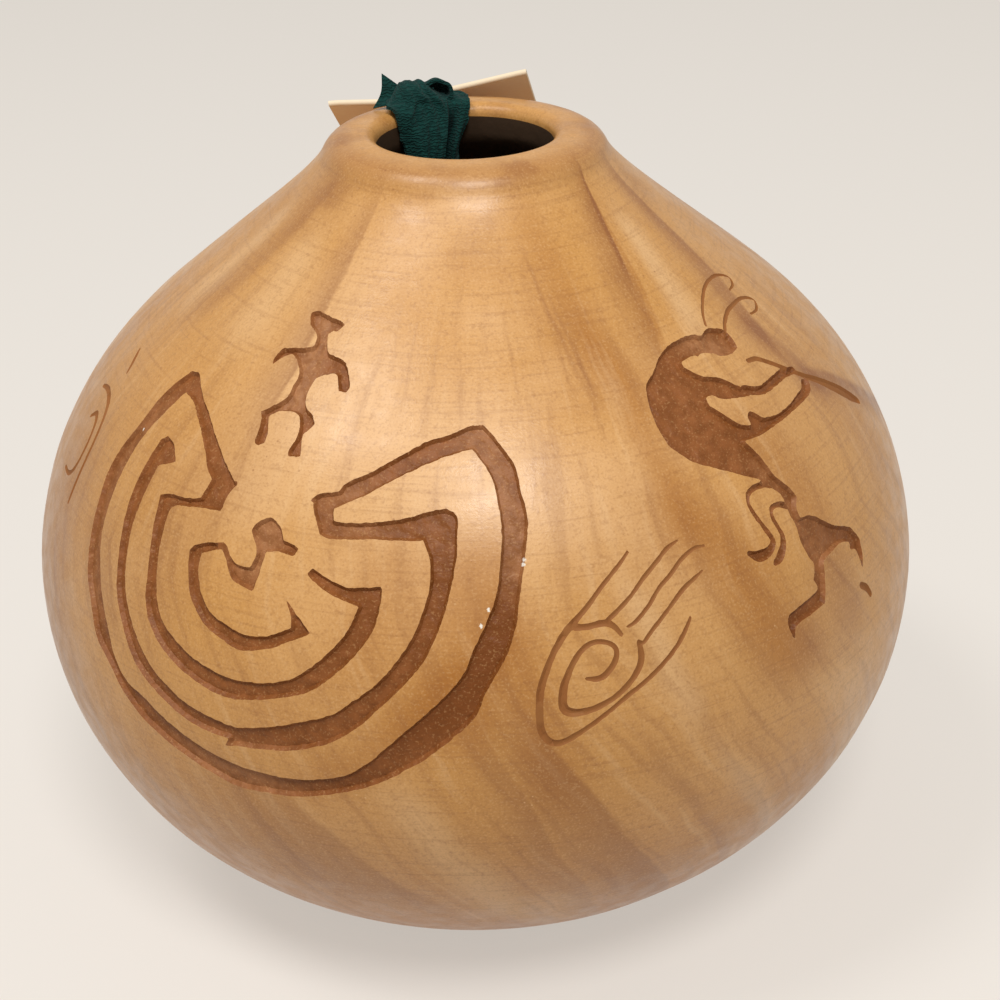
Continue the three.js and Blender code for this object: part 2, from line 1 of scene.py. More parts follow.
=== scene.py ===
"""Looks of the engraved pottery vase: carved, burnished clay with a cloth tie and a card tag."""
import math

import bmesh
import bpy
import numpy as np
from mathutils import Matrix, Vector
from mathutils.geometry import delaunay_2d_cdt


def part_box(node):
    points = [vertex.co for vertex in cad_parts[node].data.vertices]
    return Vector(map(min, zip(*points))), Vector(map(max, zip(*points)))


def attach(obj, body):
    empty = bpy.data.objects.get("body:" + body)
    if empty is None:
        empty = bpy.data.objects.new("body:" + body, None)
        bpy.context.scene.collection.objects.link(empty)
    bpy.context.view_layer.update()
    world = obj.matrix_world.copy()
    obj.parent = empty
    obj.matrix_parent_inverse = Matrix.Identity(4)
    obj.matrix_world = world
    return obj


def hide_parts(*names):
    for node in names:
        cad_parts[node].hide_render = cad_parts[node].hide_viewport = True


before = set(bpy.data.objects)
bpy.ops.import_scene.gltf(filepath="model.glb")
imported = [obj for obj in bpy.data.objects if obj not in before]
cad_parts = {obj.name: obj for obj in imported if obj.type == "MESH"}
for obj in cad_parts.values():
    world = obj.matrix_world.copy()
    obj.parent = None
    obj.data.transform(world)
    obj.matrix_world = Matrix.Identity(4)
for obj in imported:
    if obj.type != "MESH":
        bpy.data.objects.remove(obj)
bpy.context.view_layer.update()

MM = 0.001
TOLERANCE = 1e-6

# Vase, in millimetres. The outline is the CAD solid's: ellipses below the shoulder, then two sweeps.
VASE_HIGH = np.array(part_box("vase_body")[1]) / MM
BELLY_RADIUS = VASE_HIGH[0]
RIM_HEIGHT = VASE_HIGH[2]
BELLY_HEIGHT = 69.0
FOOT_RADIUS = 45.0
SHOULDER = np.array((67.8, 126.0))
NECK = np.array((28.9, RIM_HEIGHT - 3.6))
NECK_TILT = math.radians(26)
SHOULDER_SWEEP = 18.4
NECK_SWEEP = 7.2
MOUTH_RADIUS = 17.9
LIP_ROUND = 2.6
LIP_BULGE = 0.42
THROAT_LENGTH = 6.0
WALL = 6.0
FLOOR = 8.0
CREST = np.array((MOUTH_RADIUS + LIP_ROUND, RIM_HEIGHT))
OUTER_STEPS = 240  # points on each of the outside's long curves
LIP_STEPS = 80
INSIDE_STEPS = {"bowl": 40, "dome": 30, "neck": 26, "lip": 9}

# Carving. Places are millimetres on the unrolled outside: across is measured round the belly from the
# front, to the right when seen from outside, and up is measured along the outline from the foot's edge.
# A fill is a closed outline made of runs. Each run starts at a corner and is smooth up to the next one.
MAZE_OUTER = [
    [(-55, 142.2), (-65, 148.4), (-72.5, 152.7), (-78.8, 155.5), (-84.6, 158.4), (-86.7, 159)],
    [(-89.6, 158.5), (-92.1, 154.9), (-93.8, 150.3), (-94.3, 145.3), (-96, 139.5), (-96.8, 134.1),
     (-96, 129.5), (-94.8, 124.9), (-93.3, 119.5), (-91, 113.7), (-87.5, 108.7), (-84.2, 103.2),
     (-79.6, 99.9), (-75, 95.6), (-70.8, 92.8), (-65, 90.3), (-58.3, 88.2), (-51.7, 86.4),
     (-45.8, 85.3), (-40, 85.8), (-33.3, 86.6), (-25, 89.1), (-17.9, 92.2), (-12.1, 95.8),
     (-7.5, 99.1), (0, 106), (2.1, 110.3), (6.2, 117), (8.3, 122), (9.8, 128.7),
     (11.2, 134.5), (12.5, 140.8), (11.6, 146.2), (11.1, 150.3), (9.2, 153.2), (7.1, 155.8)],
    [(4, 158.7), (0.4, 158.5), (-5, 156.8), (-9.6, 155.8), (-15, 153.4), (-19.2, 151.2),
     (-23.8, 148.8), (-27.5, 147.2)],
    [(-28.9, 146.3)],
    [(-29.6, 145.1), (-34.2, 144.1)],
    [(-36, 142.7)],
    [(-31, 141.4), (-27.6, 143), (-23.4, 144.9), (-17.2, 148.2), (-10, 151.2), (-4.2, 153.1)],
    [(1, 154.1), (3.3, 151.6), (5.2, 148.8), (6.2, 144.9), (6.7, 139.5), (6.2, 134.5), (5.2, 128.7),
     (3.3, 124.1), (0.4, 118.7), (-1.7, 114.1), (-5, 110.3), (-9.2, 106.2), (-13.3, 102.4),
     (-17.9, 97.8), (-21.2, 94.9), (-25.8, 92.4), (-33.3, 90.6), (-40, 90.2), (-46.7, 90.5),
     (-55, 92), (-61.7, 94.1), (-68.3, 96.8), (-73.8, 98.5), (-77.9, 102.4), (-80.4, 106.6),
     (-83.8, 111.6), (-87.1, 117.4), (-89.6, 122.4), (-90.8, 128.7), (-91.2, 134.5), (-90.8, 141.2),
     (-89.6, 145.8), (-87.9, 149.9), (-86.7, 152.8)],
    [(-85.7, 154.7), (-80, 153.4), (-72.5, 149.5), (-68.3, 146.6), (-64.2, 143)],
    [(-61.7, 141.8)],
]
MAZE_SECOND = [
    [(-35.2, 143.4), (-34.6, 141), (-33.3, 139.1)],
    [(-32.1, 137), (-29.2, 136.5), (-20.8, 137.2), (-13.3, 137.3)],
    [(-9.6, 137.6), (-8.3, 134.5), (-7.9, 130.8), (-8.8, 126.2), (-10.8, 121.2), (-14.2, 115.8),
     (-17.9, 111.6), (-22.5, 107.8), (-25.8, 105.3), (-30.8, 103.2), (-38.3, 100.5), (-45, 98.7),
     (-50, 98.9), (-56.7, 99.9), (-61.7, 101.8), (-66.7, 104.5), (-71.2, 108.7), (-74.6, 112.8),
     (-77.1, 117), (-78.8, 122), (-80, 127), (-80.2, 133.7), (-80, 139)],
    [(-79.8, 140.2)],
    [(-75, 142.2), (-78.8, 145.1)],
    [(-82.1, 145.8)],
    [(-83.6, 144.5), (-84, 141.2), (-84.4, 136.2), (-83.9, 130.3), (-82.5, 124.5), (-80.4, 117.8),
     (-79.2, 114.5), (-75.4, 108.7), (-70.8, 103.2), (-65, 99.7), (-58.3, 97), (-51.7, 95.8)],
    [(-47.1, 95.8)],
    [(-48.2, 93.8), (-45.4, 94.7), (-40, 95.5), (-33.3, 96.8), (-26.7, 99.5), (-21.2, 103.2),
     (-16.7, 107.8), (-12.5, 112), (-8.8, 116.6), (-5.8, 122.8), (-4.2, 128.2), (-2.9, 133.7),
     (-2.5, 138.7), (-2.7, 142)],
    [(-5, 143.2), (-8.3, 142.7), (-13.3, 141.4), (-20, 140.3), (-25.8, 139.7)],
    [(-29.6, 139.7)],
    [(-30, 143)],
]
MAZE_THIRD = [
    [(-55, 143)],
    [(-56.5, 140.2)],
    [(-56.8, 137), (-62.1, 136.4), (-69.6, 134.9)],
    [(-70.7, 133.4), (-70.2, 128.7), (-69.3, 124.5), (-67.9, 119.5), (-66.5, 116.6), (-64.2, 113.7),
     (-59.2, 110.8), (-53.3, 108.9), (-46.7, 108), (-40, 108.7), (-34.2, 110.6), (-30, 113.7),
     (-26.2, 117.4), (-23.3, 121.6)],
    [(-21.9, 125.2), (-25.8, 126.2), (-30, 127.8)],
    [(-33.3, 129.7)],
    [(-32.3, 131), (-28.3, 129.3), (-24.2, 128.4), (-20, 128.8)],
    [(-17.5, 129.1), (-17.5, 126.2), (-18.8, 121.2), (-22.1, 116.4), (-26.2, 112.2), (-30.8, 108.7),
     (-37.5, 106.3), (-44.2, 104.5), (-49.2, 104.2), (-56.7, 105.8), (-63.3, 108.7), (-67.9, 112.4),
     (-70.2, 116.6), (-71.7, 123.2), (-73.5, 129.5)],
    [(-75, 135.5), (-72.5, 136.4), (-66.7, 137.2)],
    [(-63.3, 138.2), (-62.8, 140.2)],
    [(-62.2, 142.6)],
]
MAZE_INNER = [
    [(-61.7, 128.4)],
    [(-60.7, 129.7), (-57.5, 130.9)],
    [(-53.6, 131.8)],
    [(-52.1, 130.8), (-55, 130.2)],
    [(-58.3, 128.7), (-58.2, 125.8), (-56.2, 122), (-53.3, 119.1), (-49.2, 117.6), (-45, 116.8),
     (-40, 117.4)],
    [(-35, 119.7), (-35.4, 122)],
    [(-36.9, 124.7), (-33.8, 122)],
    [(-30.8, 119.3), (-35, 117.4), (-39.2, 115.3), (-45, 113.8), (-49.2, 114.7), (-54.2, 116.6),
     (-58.3, 120.3), (-60.2, 124.1)],
]
MAZE_BIRD = [
    [(-54.3, 131)],
    [(-52.9, 131.5), (-50.2, 129.1), (-47.5, 128.7)],
    [(-46, 128.8), (-45.4, 132)],
    [(-47.9, 135.3), (-46.7, 137), (-44.2, 138.3), (-41.2, 137)],
    [(-39.8, 134.7), (-37.9, 134.5)],
    [(-36, 133.9), (-37.1, 132.4), (-40, 132.7)],
    [(-43.2, 132.2), (-43.6, 128.7)],
    [(-44.3, 124.8), (-47.5, 125.3), (-50, 126.3), (-52.1, 129.1)],
]
RUNNER = [
    [(-58.7, 178.3), (-56.4, 179), (-53.3, 178.8), (-48.7, 178.2), (-45.6, 178)],
    [(-43.5, 177.3), (-44.8, 176), (-46.8, 175.5)],
    [(-48, 174.8), (-47.5, 173.6)],
    [(-46.2, 171.8), (-44.5, 171), (-41.4, 170.5), (-39.5, 170.2), (-37.7, 169.4), (-35.6, 167.1),
     (-34.3, 165)],
    [(-34.7, 163.9)],
    [(-37.3, 164), (-38.3, 165.5), (-39.5, 167.1), (-41.4, 167.1), (-44.1, 166.3), (-45.8, 165.3),
     (-46.2, 163.2), (-46, 161.3), (-44.5, 159.4), (-42.2, 158.4)],
    [(-40.6, 156.9), (-41.6, 155.5)],
    [(-42.7, 154.6), (-42.3, 152.8)],
    [(-41.4, 150.3)],
    [(-44.5, 149.8), (-45, 150.9), (-44.3, 152.5), (-44.1, 154.4), (-44.7, 156.3)],
    [(-45.8, 157.8), (-47.9, 158.3), (-50.6, 158)],
    [(-52.7, 157.5), (-54.3, 156.3), (-53.3, 154.6), (-52.3, 152.8)],
    [(-52.2, 151.3)],
    [(-53.7, 150.5), (-55, 150.9), (-55.4, 153.2), (-56.2, 155.5)],
    [(-57.5, 156.8), (-55.6, 157.8), (-53.3, 159.4), (-51.6, 160.9), (-51.6, 163.2), (-51.4, 165.5),
     (-53.3, 167.5), (-55.6, 168.8), (-57.5, 169.2), (-59.8, 168.2)],
    [(-62, 166.3), (-62.6, 167.1), (-61.8, 169.6), (-59.1, 170.3), (-55.2, 170.9), (-52.5, 171.4)],
    [(-51.2, 171.9), (-51.5, 173.6)],
    [(-52.2, 174.2), (-54.5, 175.2), (-56.8, 176.1)],
]
PLAYER_BODY = [
    [(49, 153.5), (49.4, 156.9), (50.5, 159.8), (52.1, 161.9), (55.5, 163.5), (61.3, 166.4),
     (67.8, 167.9), (77.1, 167.9), (80.2, 166.8), (84, 167.5), (87.8, 166.8), (91.1, 165.4),
     (90.9, 162.7)],
    [(90, 161.2), (85.5, 160.9), (81.7, 161.5), (79, 162.9), (75.2, 163.8), (73.6, 163.5),
     (72.5, 164)],
    [(66.7, 163.8)],
    [(66.5, 162.7), (70.2, 159.8), (75.2, 158.1), (79.4, 155.2)],
    [(83.1, 152.7)],
    [(80.9, 152.2), (77.1, 152.9), (73.2, 153.7)],
    [(70.9, 154.6), (69.6, 155.6), (67.1, 155.4)],
    [(66.8, 153.8), (69.4, 151.4), (72.1, 148.6)],
    [(75.5, 147.3), (76.2, 149.1), (77.8, 149.6), (79.4, 148.5), (80.9, 147.3), (87.1, 146.4),
     (94.8, 146.8), (100.9, 147.3)],
    [(104, 148.5)],
    [(107.1, 147.3), (103.2, 145.4), (94, 145.2), (85.5, 145), (77.1, 144.8)],
    [(70.9, 145.2), (72.8, 141.5), (74.4, 136.9), (76.7, 133.8)],
    [(77.8, 131.5), (76.3, 129.6)],
    [(76.2, 127.3)],
    [(74.2, 126.9), (73.6, 129.6), (73.8, 132.3), (72.5, 134.6), (69.8, 137.3), (65.5, 139.6),
     (60.2, 142.3), (55.2, 144.6), (52.1, 146.9), (49.8, 149.6)],
]
PLAYER_LEGS = [
    [(74.2, 126.9), (76.2, 127.5), (79.8, 126.9), (84.8, 123.1), (89.4, 120.8), (91.3, 119.6)],
    [(93.1, 116.5), (92.5, 113.1)],
    [(91.3, 110.8), (90.9, 114.6), (90.2, 115.8)],
    [(88.5, 116.3), (89, 117.8), (85.5, 118.8), (82.5, 118.5), (79, 117.8), (77.8, 114.6)],
    [(76.2, 110.4), (70.2, 109.8), (67.1, 109.4)],
    [(65.9, 107.1), (64.9, 110.4)],
    [(65.5, 112.2), (70.2, 112.9), (74.8, 113.7)],
    [(74.4, 115.8), (75.7, 118.5), (74.8, 120.4), (74, 123.1)],
]
# A line is a stroke with round ends: points with their width.
PLAYER_FLUTE = [(89.5, 158, 1), (93.5, 157.3, 1.2), (97.5, 154.9, 1.3), (102, 151.6, 1.3),
                (106.5, 148.3, 1.5), (111, 145.4, 2), (116.5, 141.2, 2.8), (121, 137.4, 2.8),
                (124.5, 134.6, 1.6)]
PLAYER_ARM = [(81, 153.6, 2.2), (86, 152, 1.9), (92, 151.9, 2), (98, 151.9, 2),
              (104, 150.9, 1.6)]
PLAYER_FOOT = [(89.5, 108.3, 1.4), (91.5, 106.8, 1.6), (92.8, 104.8, 1.2)]
PLAYER_SASH = [
    [(73, 135.6, 1.6), (69, 136.6, 1.2), (65.5, 136.4, 1.1), (63.8, 134.8, 1), (64.3, 132, 1),
     (66, 128, 1.1), (66.4, 126, 1.4), (64.4, 124.8, 1.9), (61.5, 124.9, 2), (59.6, 126, 1.2)],
    [(74, 130.8, 1.4), (71.5, 131.9, 1.1), (69.3, 131.8, 1), (68.6, 130, 0.9), (69.4, 127, 1.1),
     (68.8, 124.6, 1.7), (66.8, 122.9, 1.9), (65.4, 122.4, 1.2)],
]
PLAYER_FEELERS = [
    [(85.3, 168.2, 0.7), (88.5, 170.5, 0.8), (94, 172.8, 0.8), (100, 174.4, 0.8), (106, 174.9, 0.8),
     (112, 174.6, 0.8), (116.5, 173.4, 0.8), (118.5, 172, 0.7), (116, 170.8, 0.7), (111, 170.6, 0.5)],
    [(90.5, 165, 0.9), (94, 166.6, 1), (100, 168, 1), (106, 168.2, 0.9), (112, 167.9, 0.9),
     (116.5, 166.6, 0.9), (118, 165.2, 0.8), (114, 164, 0.7), (109, 164.4, 0.5)],
]
HAND_LINES = [
    [(42.8, 118.6, 0.6), (41, 116.2, 0.9), (38, 113.2, 0.9), (33.5, 110, 0.9), (28, 107, 0.9),
     (24, 104.6, 0.9), (20, 102.3, 1), (16.5, 100.6, 1.2), (14.5, 100.3, 1.3), (12.8, 101.3, 1.3),
     (11.9, 103.5, 1.4), (11.8, 107, 1.4), (12.2, 110.5, 1.4), (13.5, 114, 1.3), (15.2, 117.2, 1.2),
     (17, 119.6, 1.4), (19, 121.6, 1.3), (22, 124, 1), (26, 127.6, 0.9), (30, 130.6, 0.8),
     (32.5, 132.6, 0.5)],
    [(19.5, 121, 1.2), (22, 120.8, 1.2), (25, 121, 1.2), (27, 120.2, 1.1), (28.4, 118.4, 0.8)],
    [(26, 121.4, 0.9), (28, 122.6, 0.9), (31, 124.6, 0.8), (34.5, 127.4, 0.9), (38, 129.7, 0.9),
     (41, 131.6, 0.8), (43.8, 132.5, 0.5)],
    [(29.8, 119.6, 0.6), (31.5, 120.2, 0.8), (34.5, 122.4, 0.8), (37.5, 125.2, 0.8), (40.5, 127, 0.8),
     (43.5, 129, 0.8), (47, 130.3, 0.7), (49.5, 130.2, 0.5)],
    [(32.5, 116.2, 0.7), (35, 118.4, 0.8), (39, 121.4, 0.8), (42, 123.6, 0.9), (45, 125, 0.8),
     (47.5, 126, 0.5)],
    [(31.6, 116.5, 0.9), (31.7, 113.5, 1.3), (30.4, 111, 1.2), (28, 108.8, 1.1), (25, 107, 1.1),
     (21, 105.8, 1.3), (17.5, 105.8, 1.6), (16.2, 107, 1.7), (16.2, 109.5, 1.6), (17, 112, 1.4),
     (18.6, 114.8, 1.1), (20.6, 117, 1), (23, 117.9, 0.9), (25.6, 117.4, 0.9), (27, 116, 1),
     (26.6, 114, 1.1), (25, 112.2, 1.2), (23.2, 111.3, 1.1), (20.8, 111.6, 0.7)],
]
SIDE_SPIRAL = [
    [(-126, 142.2, 0.9), (-123, 143, 1.2), (-120, 143.2, 1.3), (-116, 142.3, 1.4),
     (-113.5, 140.6, 1.4), (-111.6, 138, 1.3), (-110.4, 134.5, 1.1), (-109.9, 130, 1.1),
     (-109.8, 125, 1.1), (-109.9, 121, 0.7)],
    [(-121, 136.6, 0.9), (-118.5, 138.3, 1.2), (-116, 137.5, 1.3), (-114.2, 135.2, 1.2),
     (-113.4, 132, 1.1), (-113.6, 128.5, 1.1), (-115, 125.8, 1.1), (-117.5, 124.6, 1.1),
     (-121, 124.4, 0.8)],
    [(-122, 153.5, 0.8), (-119, 151, 1.3), (-117.5, 149, 0.8)],
]
# Motifs: fills, lines that are cut as deep, and lines that are only scratched
MOTIFS = [
    ([MAZE_OUTER, MAZE_SECOND, MAZE_THIRD, MAZE_INNER, MAZE_BIRD], [], []),
    ([RUNNER], [], []),
    ([PLAYER_BODY, PLAYER_LEGS], [PLAYER_ARM, *PLAYER_SASH], [PLAYER_FLUTE, PLAYER_FOOT]),
    ([], [], PLAYER_FEELERS),
    ([], [], HAND_LINES),
    ([], [], SIDE_SPIRAL),
]
CUT_DEPTH = 0.8
SCRATCH_DEPTH = 0.4
CUT_WALL = 0.6  # run of a cut's side, from its edge to its floor
CUT_RAGGED = 0.1  # how far the knife wanders from a clean edge
CUT_GRID = 0.4  # fineness of the traced edges
CUT_GRID_SHARE = 0.08  # of a grid step, kept between a traced point and the grid's points
CUT_FLOOR_STEP = 0.75
CUT_FLOOR_CLEAR = 0.3  # of the floor's points from the foot of the cut's side
CUT_MARGIN = 3.0  # of plain ground kept round a motif where the edges are traced
THIN_LEAST = 0.1  # half the width of the thinnest stroke that gets points along its middle
THIN_OVER = 0.05  # how far beyond the run of its sides such a stroke may be wide
TOOL_MARK = 0.16  # roughness of a cut's floor
# Noises of the carving: bumps to a millimetre, shift and weight
RAGGED_BUMPS = ((0.9, (0, 0), 1.0), (2.3, (9, 0), 0.7))
TOOL_BUMPS = ((0.7, (0, 5), 1.0), (1.6, (3, 0), 0.8))

COLUMNS = 208
ROW_STEP = 2.6
LIP_ROW_STEP = 0.9
LIP_BAND = 16.0  # stretch below the crest that has closer rows and an even surface
PATCH_ACROSS = (-140.0, 140.0)  # the part of the outside that holds the carving
PATCH_UP = (75.0, 186.0)
PATCH_CLEAR = 0.9  # of the ground's points from a cut's edge
RUN_SPACING = 0.6  # of the points on a smooth curve
HAND_WAVE = 0.12  # unevenness of the hand-made surface
HAND_WAVE_LENGTH = 17.0
HAND_WAVE_SLANT = 0.6
HAND_WAVE_ROUND = 4.0  # radius of the vase's way round through the noise
HAND_WAVE_MIDDLE = 20.0  # and that way's middle
HAND_WAVE_FADES = (20.0, 14.0)  # at the foot and at the lip
SLOPE_STEP = 0.5
FOOT_SPOTS = [(0.0, -1.0), (1.0, -1.0), (0.5, -2.0)]  # where the foot's faces lie on the unrolled outside


def noise_grid(seed, size=64):
    return np.random.default_rng(seed).uniform(-1, 1, (size, size))


def noise(table, x, y):
    """Smooth value noise in the plane, from -1 to 1, one bump a unit."""
    size = table.shape[0]
    x0, y0 = np.floor(x).astype(int), np.floor(y).astype(int)
    fx, fy = x - x0, y - y0
    fx, fy = fx * fx * (3 - 2 * fx), fy * fy * (3 - 2 * fy)
    pick = lambda i, j: table[(x0 + i) % size, (y0 + j) % size]
    low = pick(0, 0) * (1 - fx) + pick(1, 0) * fx
    high = pick(0, 1) * (1 - fx) + pick(1, 1) * fx
    return low * (1 - fy) + high * fy


def layered(table, points, layers):
    """Sum of noises at points, each with its bumps to a unit, its shift and its weight."""
    total = np.zeros(len(points))
    for bumps, (x, y), weight in layers:
        total += weight * noise(table, points[:, 0] * bumps + x, points[:, 1] * bumps + y)
    return total


def lattice(xs, ys):
    """Grid of points in the plane, first along xs and then along ys."""
    return np.stack(np.meshgrid(xs, ys, indexing="ij"), -1)


# Outline of the vase
def ellipse_run(belly, from_point, to_point, count):
    """Part of the ellipse about the belly's height through the end that isn't on the belly."""
    far = from_point if from_point[0] < to_point[0] else to_point
    height = (far[1] - BELLY_HEIGHT) / math.sqrt(1 - (far[0] / belly) ** 2)
    start, end = (math.acos(min(1.0, p[0] / belly)) for p in (from_point, to_point))
    turn = np.linspace(start, end, count)
    return np.stack([belly * np.cos(turn), BELLY_HEIGHT + height * np.sin(turn)], 1)


def sweep_run(start, start_way, start_handle, end, end_way, end_handle, count):
    t = np.linspace(0, 1, count)[:, None]
    s = 1 - t
    first, second = start + start_way * start_handle, end - end_way * end_handle
    return s ** 3 * start + 3 * t * s ** 2 * first + 3 * t * t * s * second + t ** 3 * end


def way_at_end(run):
    step = run[-1] - run[-2]
    return step / np.hypot(*step)


def joined(*runs):
    return np.concatenate([runs[0]] + [run[1:] for run in runs[1:]])


def outer_outline():
    belly = np.array((BELLY_RADIUS, BELLY_HEIGHT))
    bowl = ellipse_run(BELLY_RADIUS, np.array((FOOT_RADIUS, 0.0)), belly, OUTER_STEPS)
    dome = ellipse_run(BELLY_RADIUS, belly, SHOULDER, OUTER_STEPS)
    neck_way = np.array((-math.sin(NECK_TILT), math.cos(NECK_TILT)))
    neck = sweep_run(SHOULDER, way_at_end(dome), SHOULDER_SWEEP, NECK, neck_way, NECK_SWEEP, OUTER_STEPS)
    handle = np.hypot(*(CREST - NECK)) * LIP_BULGE
    lip = sweep_run(NECK, neck_way, handle, CREST, np.array((-1.0, 0.0)), handle, LIP_STEPS)
    return joined(bowl, dome, neck, lip)


def inner_outline():
    """From the crest of the lip down to the middle of the floor."""
    shoulder_up = np.interp(SHOULDER[1], OUTLINE[:, 1], UP)
    way_r, way_z = (np.interp(shoulder_up, UP, TANGENT[:, k]) for k in (0, 1))
    shoulder = SHOULDER + WALL * np.array((-way_z, way_r))
    radius = BELLY_RADIUS - WALL
    belly = np.array((radius, BELLY_HEIGHT))
    foot = np.array((FOOT_RADIUS * radius / BELLY_RADIUS, FLOOR))
    throat = np.array((MOUTH_RADIUS, RIM_HEIGHT - THROAT_LENGTH))
    bowl = ellipse_run(radius, foot, belly, INSIDE_STEPS["bowl"])
    dome = ellipse_run(radius, belly, shoulder, INSIDE_STEPS["dome"])
    upright = np.array((0.0, 1.0))
    neck = sweep_run(shoulder, way_at_end(dome), SHOULDER_SWEEP, throat, upright, NECK_SWEEP,
                     INSIDE_STEPS["neck"])
    turn = np.linspace(math.pi / 2, math.pi, INSIDE_STEPS["lip"])
    lip = CREST - (0, LIP_ROUND) + LIP_ROUND * np.stack([np.cos(turn), np.sin(turn)], 1)
    up = joined(np.array([(0.0, FLOOR), (foot[0] / 2, FLOOR), foot]), bowl, dome, neck)
    return np.concatenate([lip, up[::-1]])


def measured(line):
    """How far along a line each of its points lies."""
    return np.concatenate([[0.0], np.cumsum(np.hypot(*np.diff(line, axis=0).T))])


OUTLINE = outer_outline()
UP = measured(OUTLINE)
OUTLINE_LENGTH = UP[-1]
TANGENT = np.gradient(OUTLINE, UP, axis=0)
TANGENT /= np.hypot(TANGENT[:, 0], TANGENT[:, 1])[:, None]
WAVE_TABLE = noise_grid(3)
RAGGED_TABLE = noise_grid(11)
CLOTH_TABLE = noise_grid(23)


def wave(across, up):
    """Slight unevenness of the ground, nothing at the foot and the lip."""
    at_foot, at_lip = HAND_WAVE_FADES
    fade = np.clip(up / at_foot, 0, 1) * np.clip((OUTLINE_LENGTH - LIP_BAND - up) / at_lip, 0, 1)
    turn = across / BELLY_RADIUS
    x = HAND_WAVE_ROUND * np.sin(turn) + HAND_WAVE_MIDDLE
    y = HAND_WAVE_ROUND * np.cos(turn) + HAND_WAVE_MIDDLE
    bumps = noise(WAVE_TABLE, x + up / HAND_WAVE_LENGTH, y - HAND_WAVE_SLANT * up / HAND_WAVE_LENGTH)
    return HAND_WAVE * fade * bumps


def on_vase(across, up, depth):
    """Points in millimetres at a depth below the ground, and the ground's normals."""
    turn = across / BELLY_RADIUS
    radius, height = (np.interp(up, UP, OUTLINE[:, k]) for k in (0, 1))
    way_r, way_z = (np.interp(up, UP, TANGENT[:, k]) for k in (0, 1))
    length = np.hypot(way_r, way_z)
    way_r, way_z = way_r / length, way_z / length
    sin, cos = np.sin(turn), np.cos(turn)
    normal = np.stack([way_z * sin, -way_z * cos, -way_r], 1)
    around = np.stack([cos, sin, 0 * sin], 1)
    along = np.stack([way_r * sin, -way_r * cos, way_z], 1)
    place = np.stack([radius * sin, -radius * cos, height], 1)
    place += normal * (wave(across, up) - depth)[:, None]
    stretch = np.maximum(radius, 1) / BELLY_RADIUS
    rise_around = wave(across + SLOPE_STEP, up) - wave(across - SLOPE_STEP, up)
    rise_along = wave(across, up + SLOPE_STEP) - wave(across, up - SLOPE_STEP)
    normal = normal - around * (rise_around / (2 * SLOPE_STEP * stretch))[:, None]
    normal = normal - along * (rise_along / (2 * SLOPE_STEP))[:, None]
    return place, normal / np.linalg.norm(normal, axis=1)[:, None]


# Carving as distances on the unrolled outside
def smooth_run(points, closing=None, spacing=RUN_SPACING):
    """Points along a smooth curve through all the given ones (any number of values each)."""
    points = np.array(points if closing is None else [*points, closing], float)
    straight = len(points) < 3
    ends = np.concatenate([[2 * points[0] - points[1]], points, [2 * points[-1] - points[-2]]])
    made = [points[0]]
    for i in range(len(points) - 1):
        count = max(1, int(np.hypot(*(points[i + 1] - points[i])[:2]) / spacing))
        t = np.linspace(0, 1, count + 1)[1:, None]
        if straight:
            made.extend(points[i] + (points[i + 1] - points[i]) * t)
            continue
        a, b, c, d = ends[i:i + 4]
        made.extend(0.5 * (2 * b + (c - a) * t + (2 * a - 5 * b + 4 * c - d) * t ** 2
                           + (3 * b - a - 3 * c + d) * t ** 3))
    return np.array(made)


def fill_outline(runs):
    """A fill's closed outline as points, without its first point repeated."""
    following = runs[1:] + runs[:1]
    return np.concatenate([smooth_run(run, after[0])[:-1] for run, after in zip(runs, following)])


def to_segments(points, starts, ends, widths=None):
    """Distance from each point to the nearest segment, less half the width there."""
    best = np.full(len(points), np.inf)
    for k in range(len(starts)):
        way = ends[k] - starts[k]
        off = points - starts[k]
        share = np.clip(off @ way / max(way @ way, 1e-12), 0, 1)
        away = np.hypot(*(off - share[:, None] * way).T)
        if widths is not None:
            away = away - 0.5 * (widths[k] + (widths[k + 1] - widths[k]) * share)
        np.minimum(best, away, out=best)
    return best


def fill_distance(points, outline):
    """Distance from each point to an outline, negative inside it."""
    following = np.roll(outline, -1, axis=0)
    away = to_segments(points, outline, following)
    inside = np.zeros(len(points), bool)
    for a, b in zip(outline, following):
        if a[1] == b[1]:
            continue
        spans = (a[1] > points[:, 1]) != (b[1] > points[:, 1])
        inside ^= spans & (points[:, 0] < a[0] + (b[0] - a[0]) * (points[:, 1] - a[1]) / (b[1] - a[1]))
    return np.where(inside, -away, away)


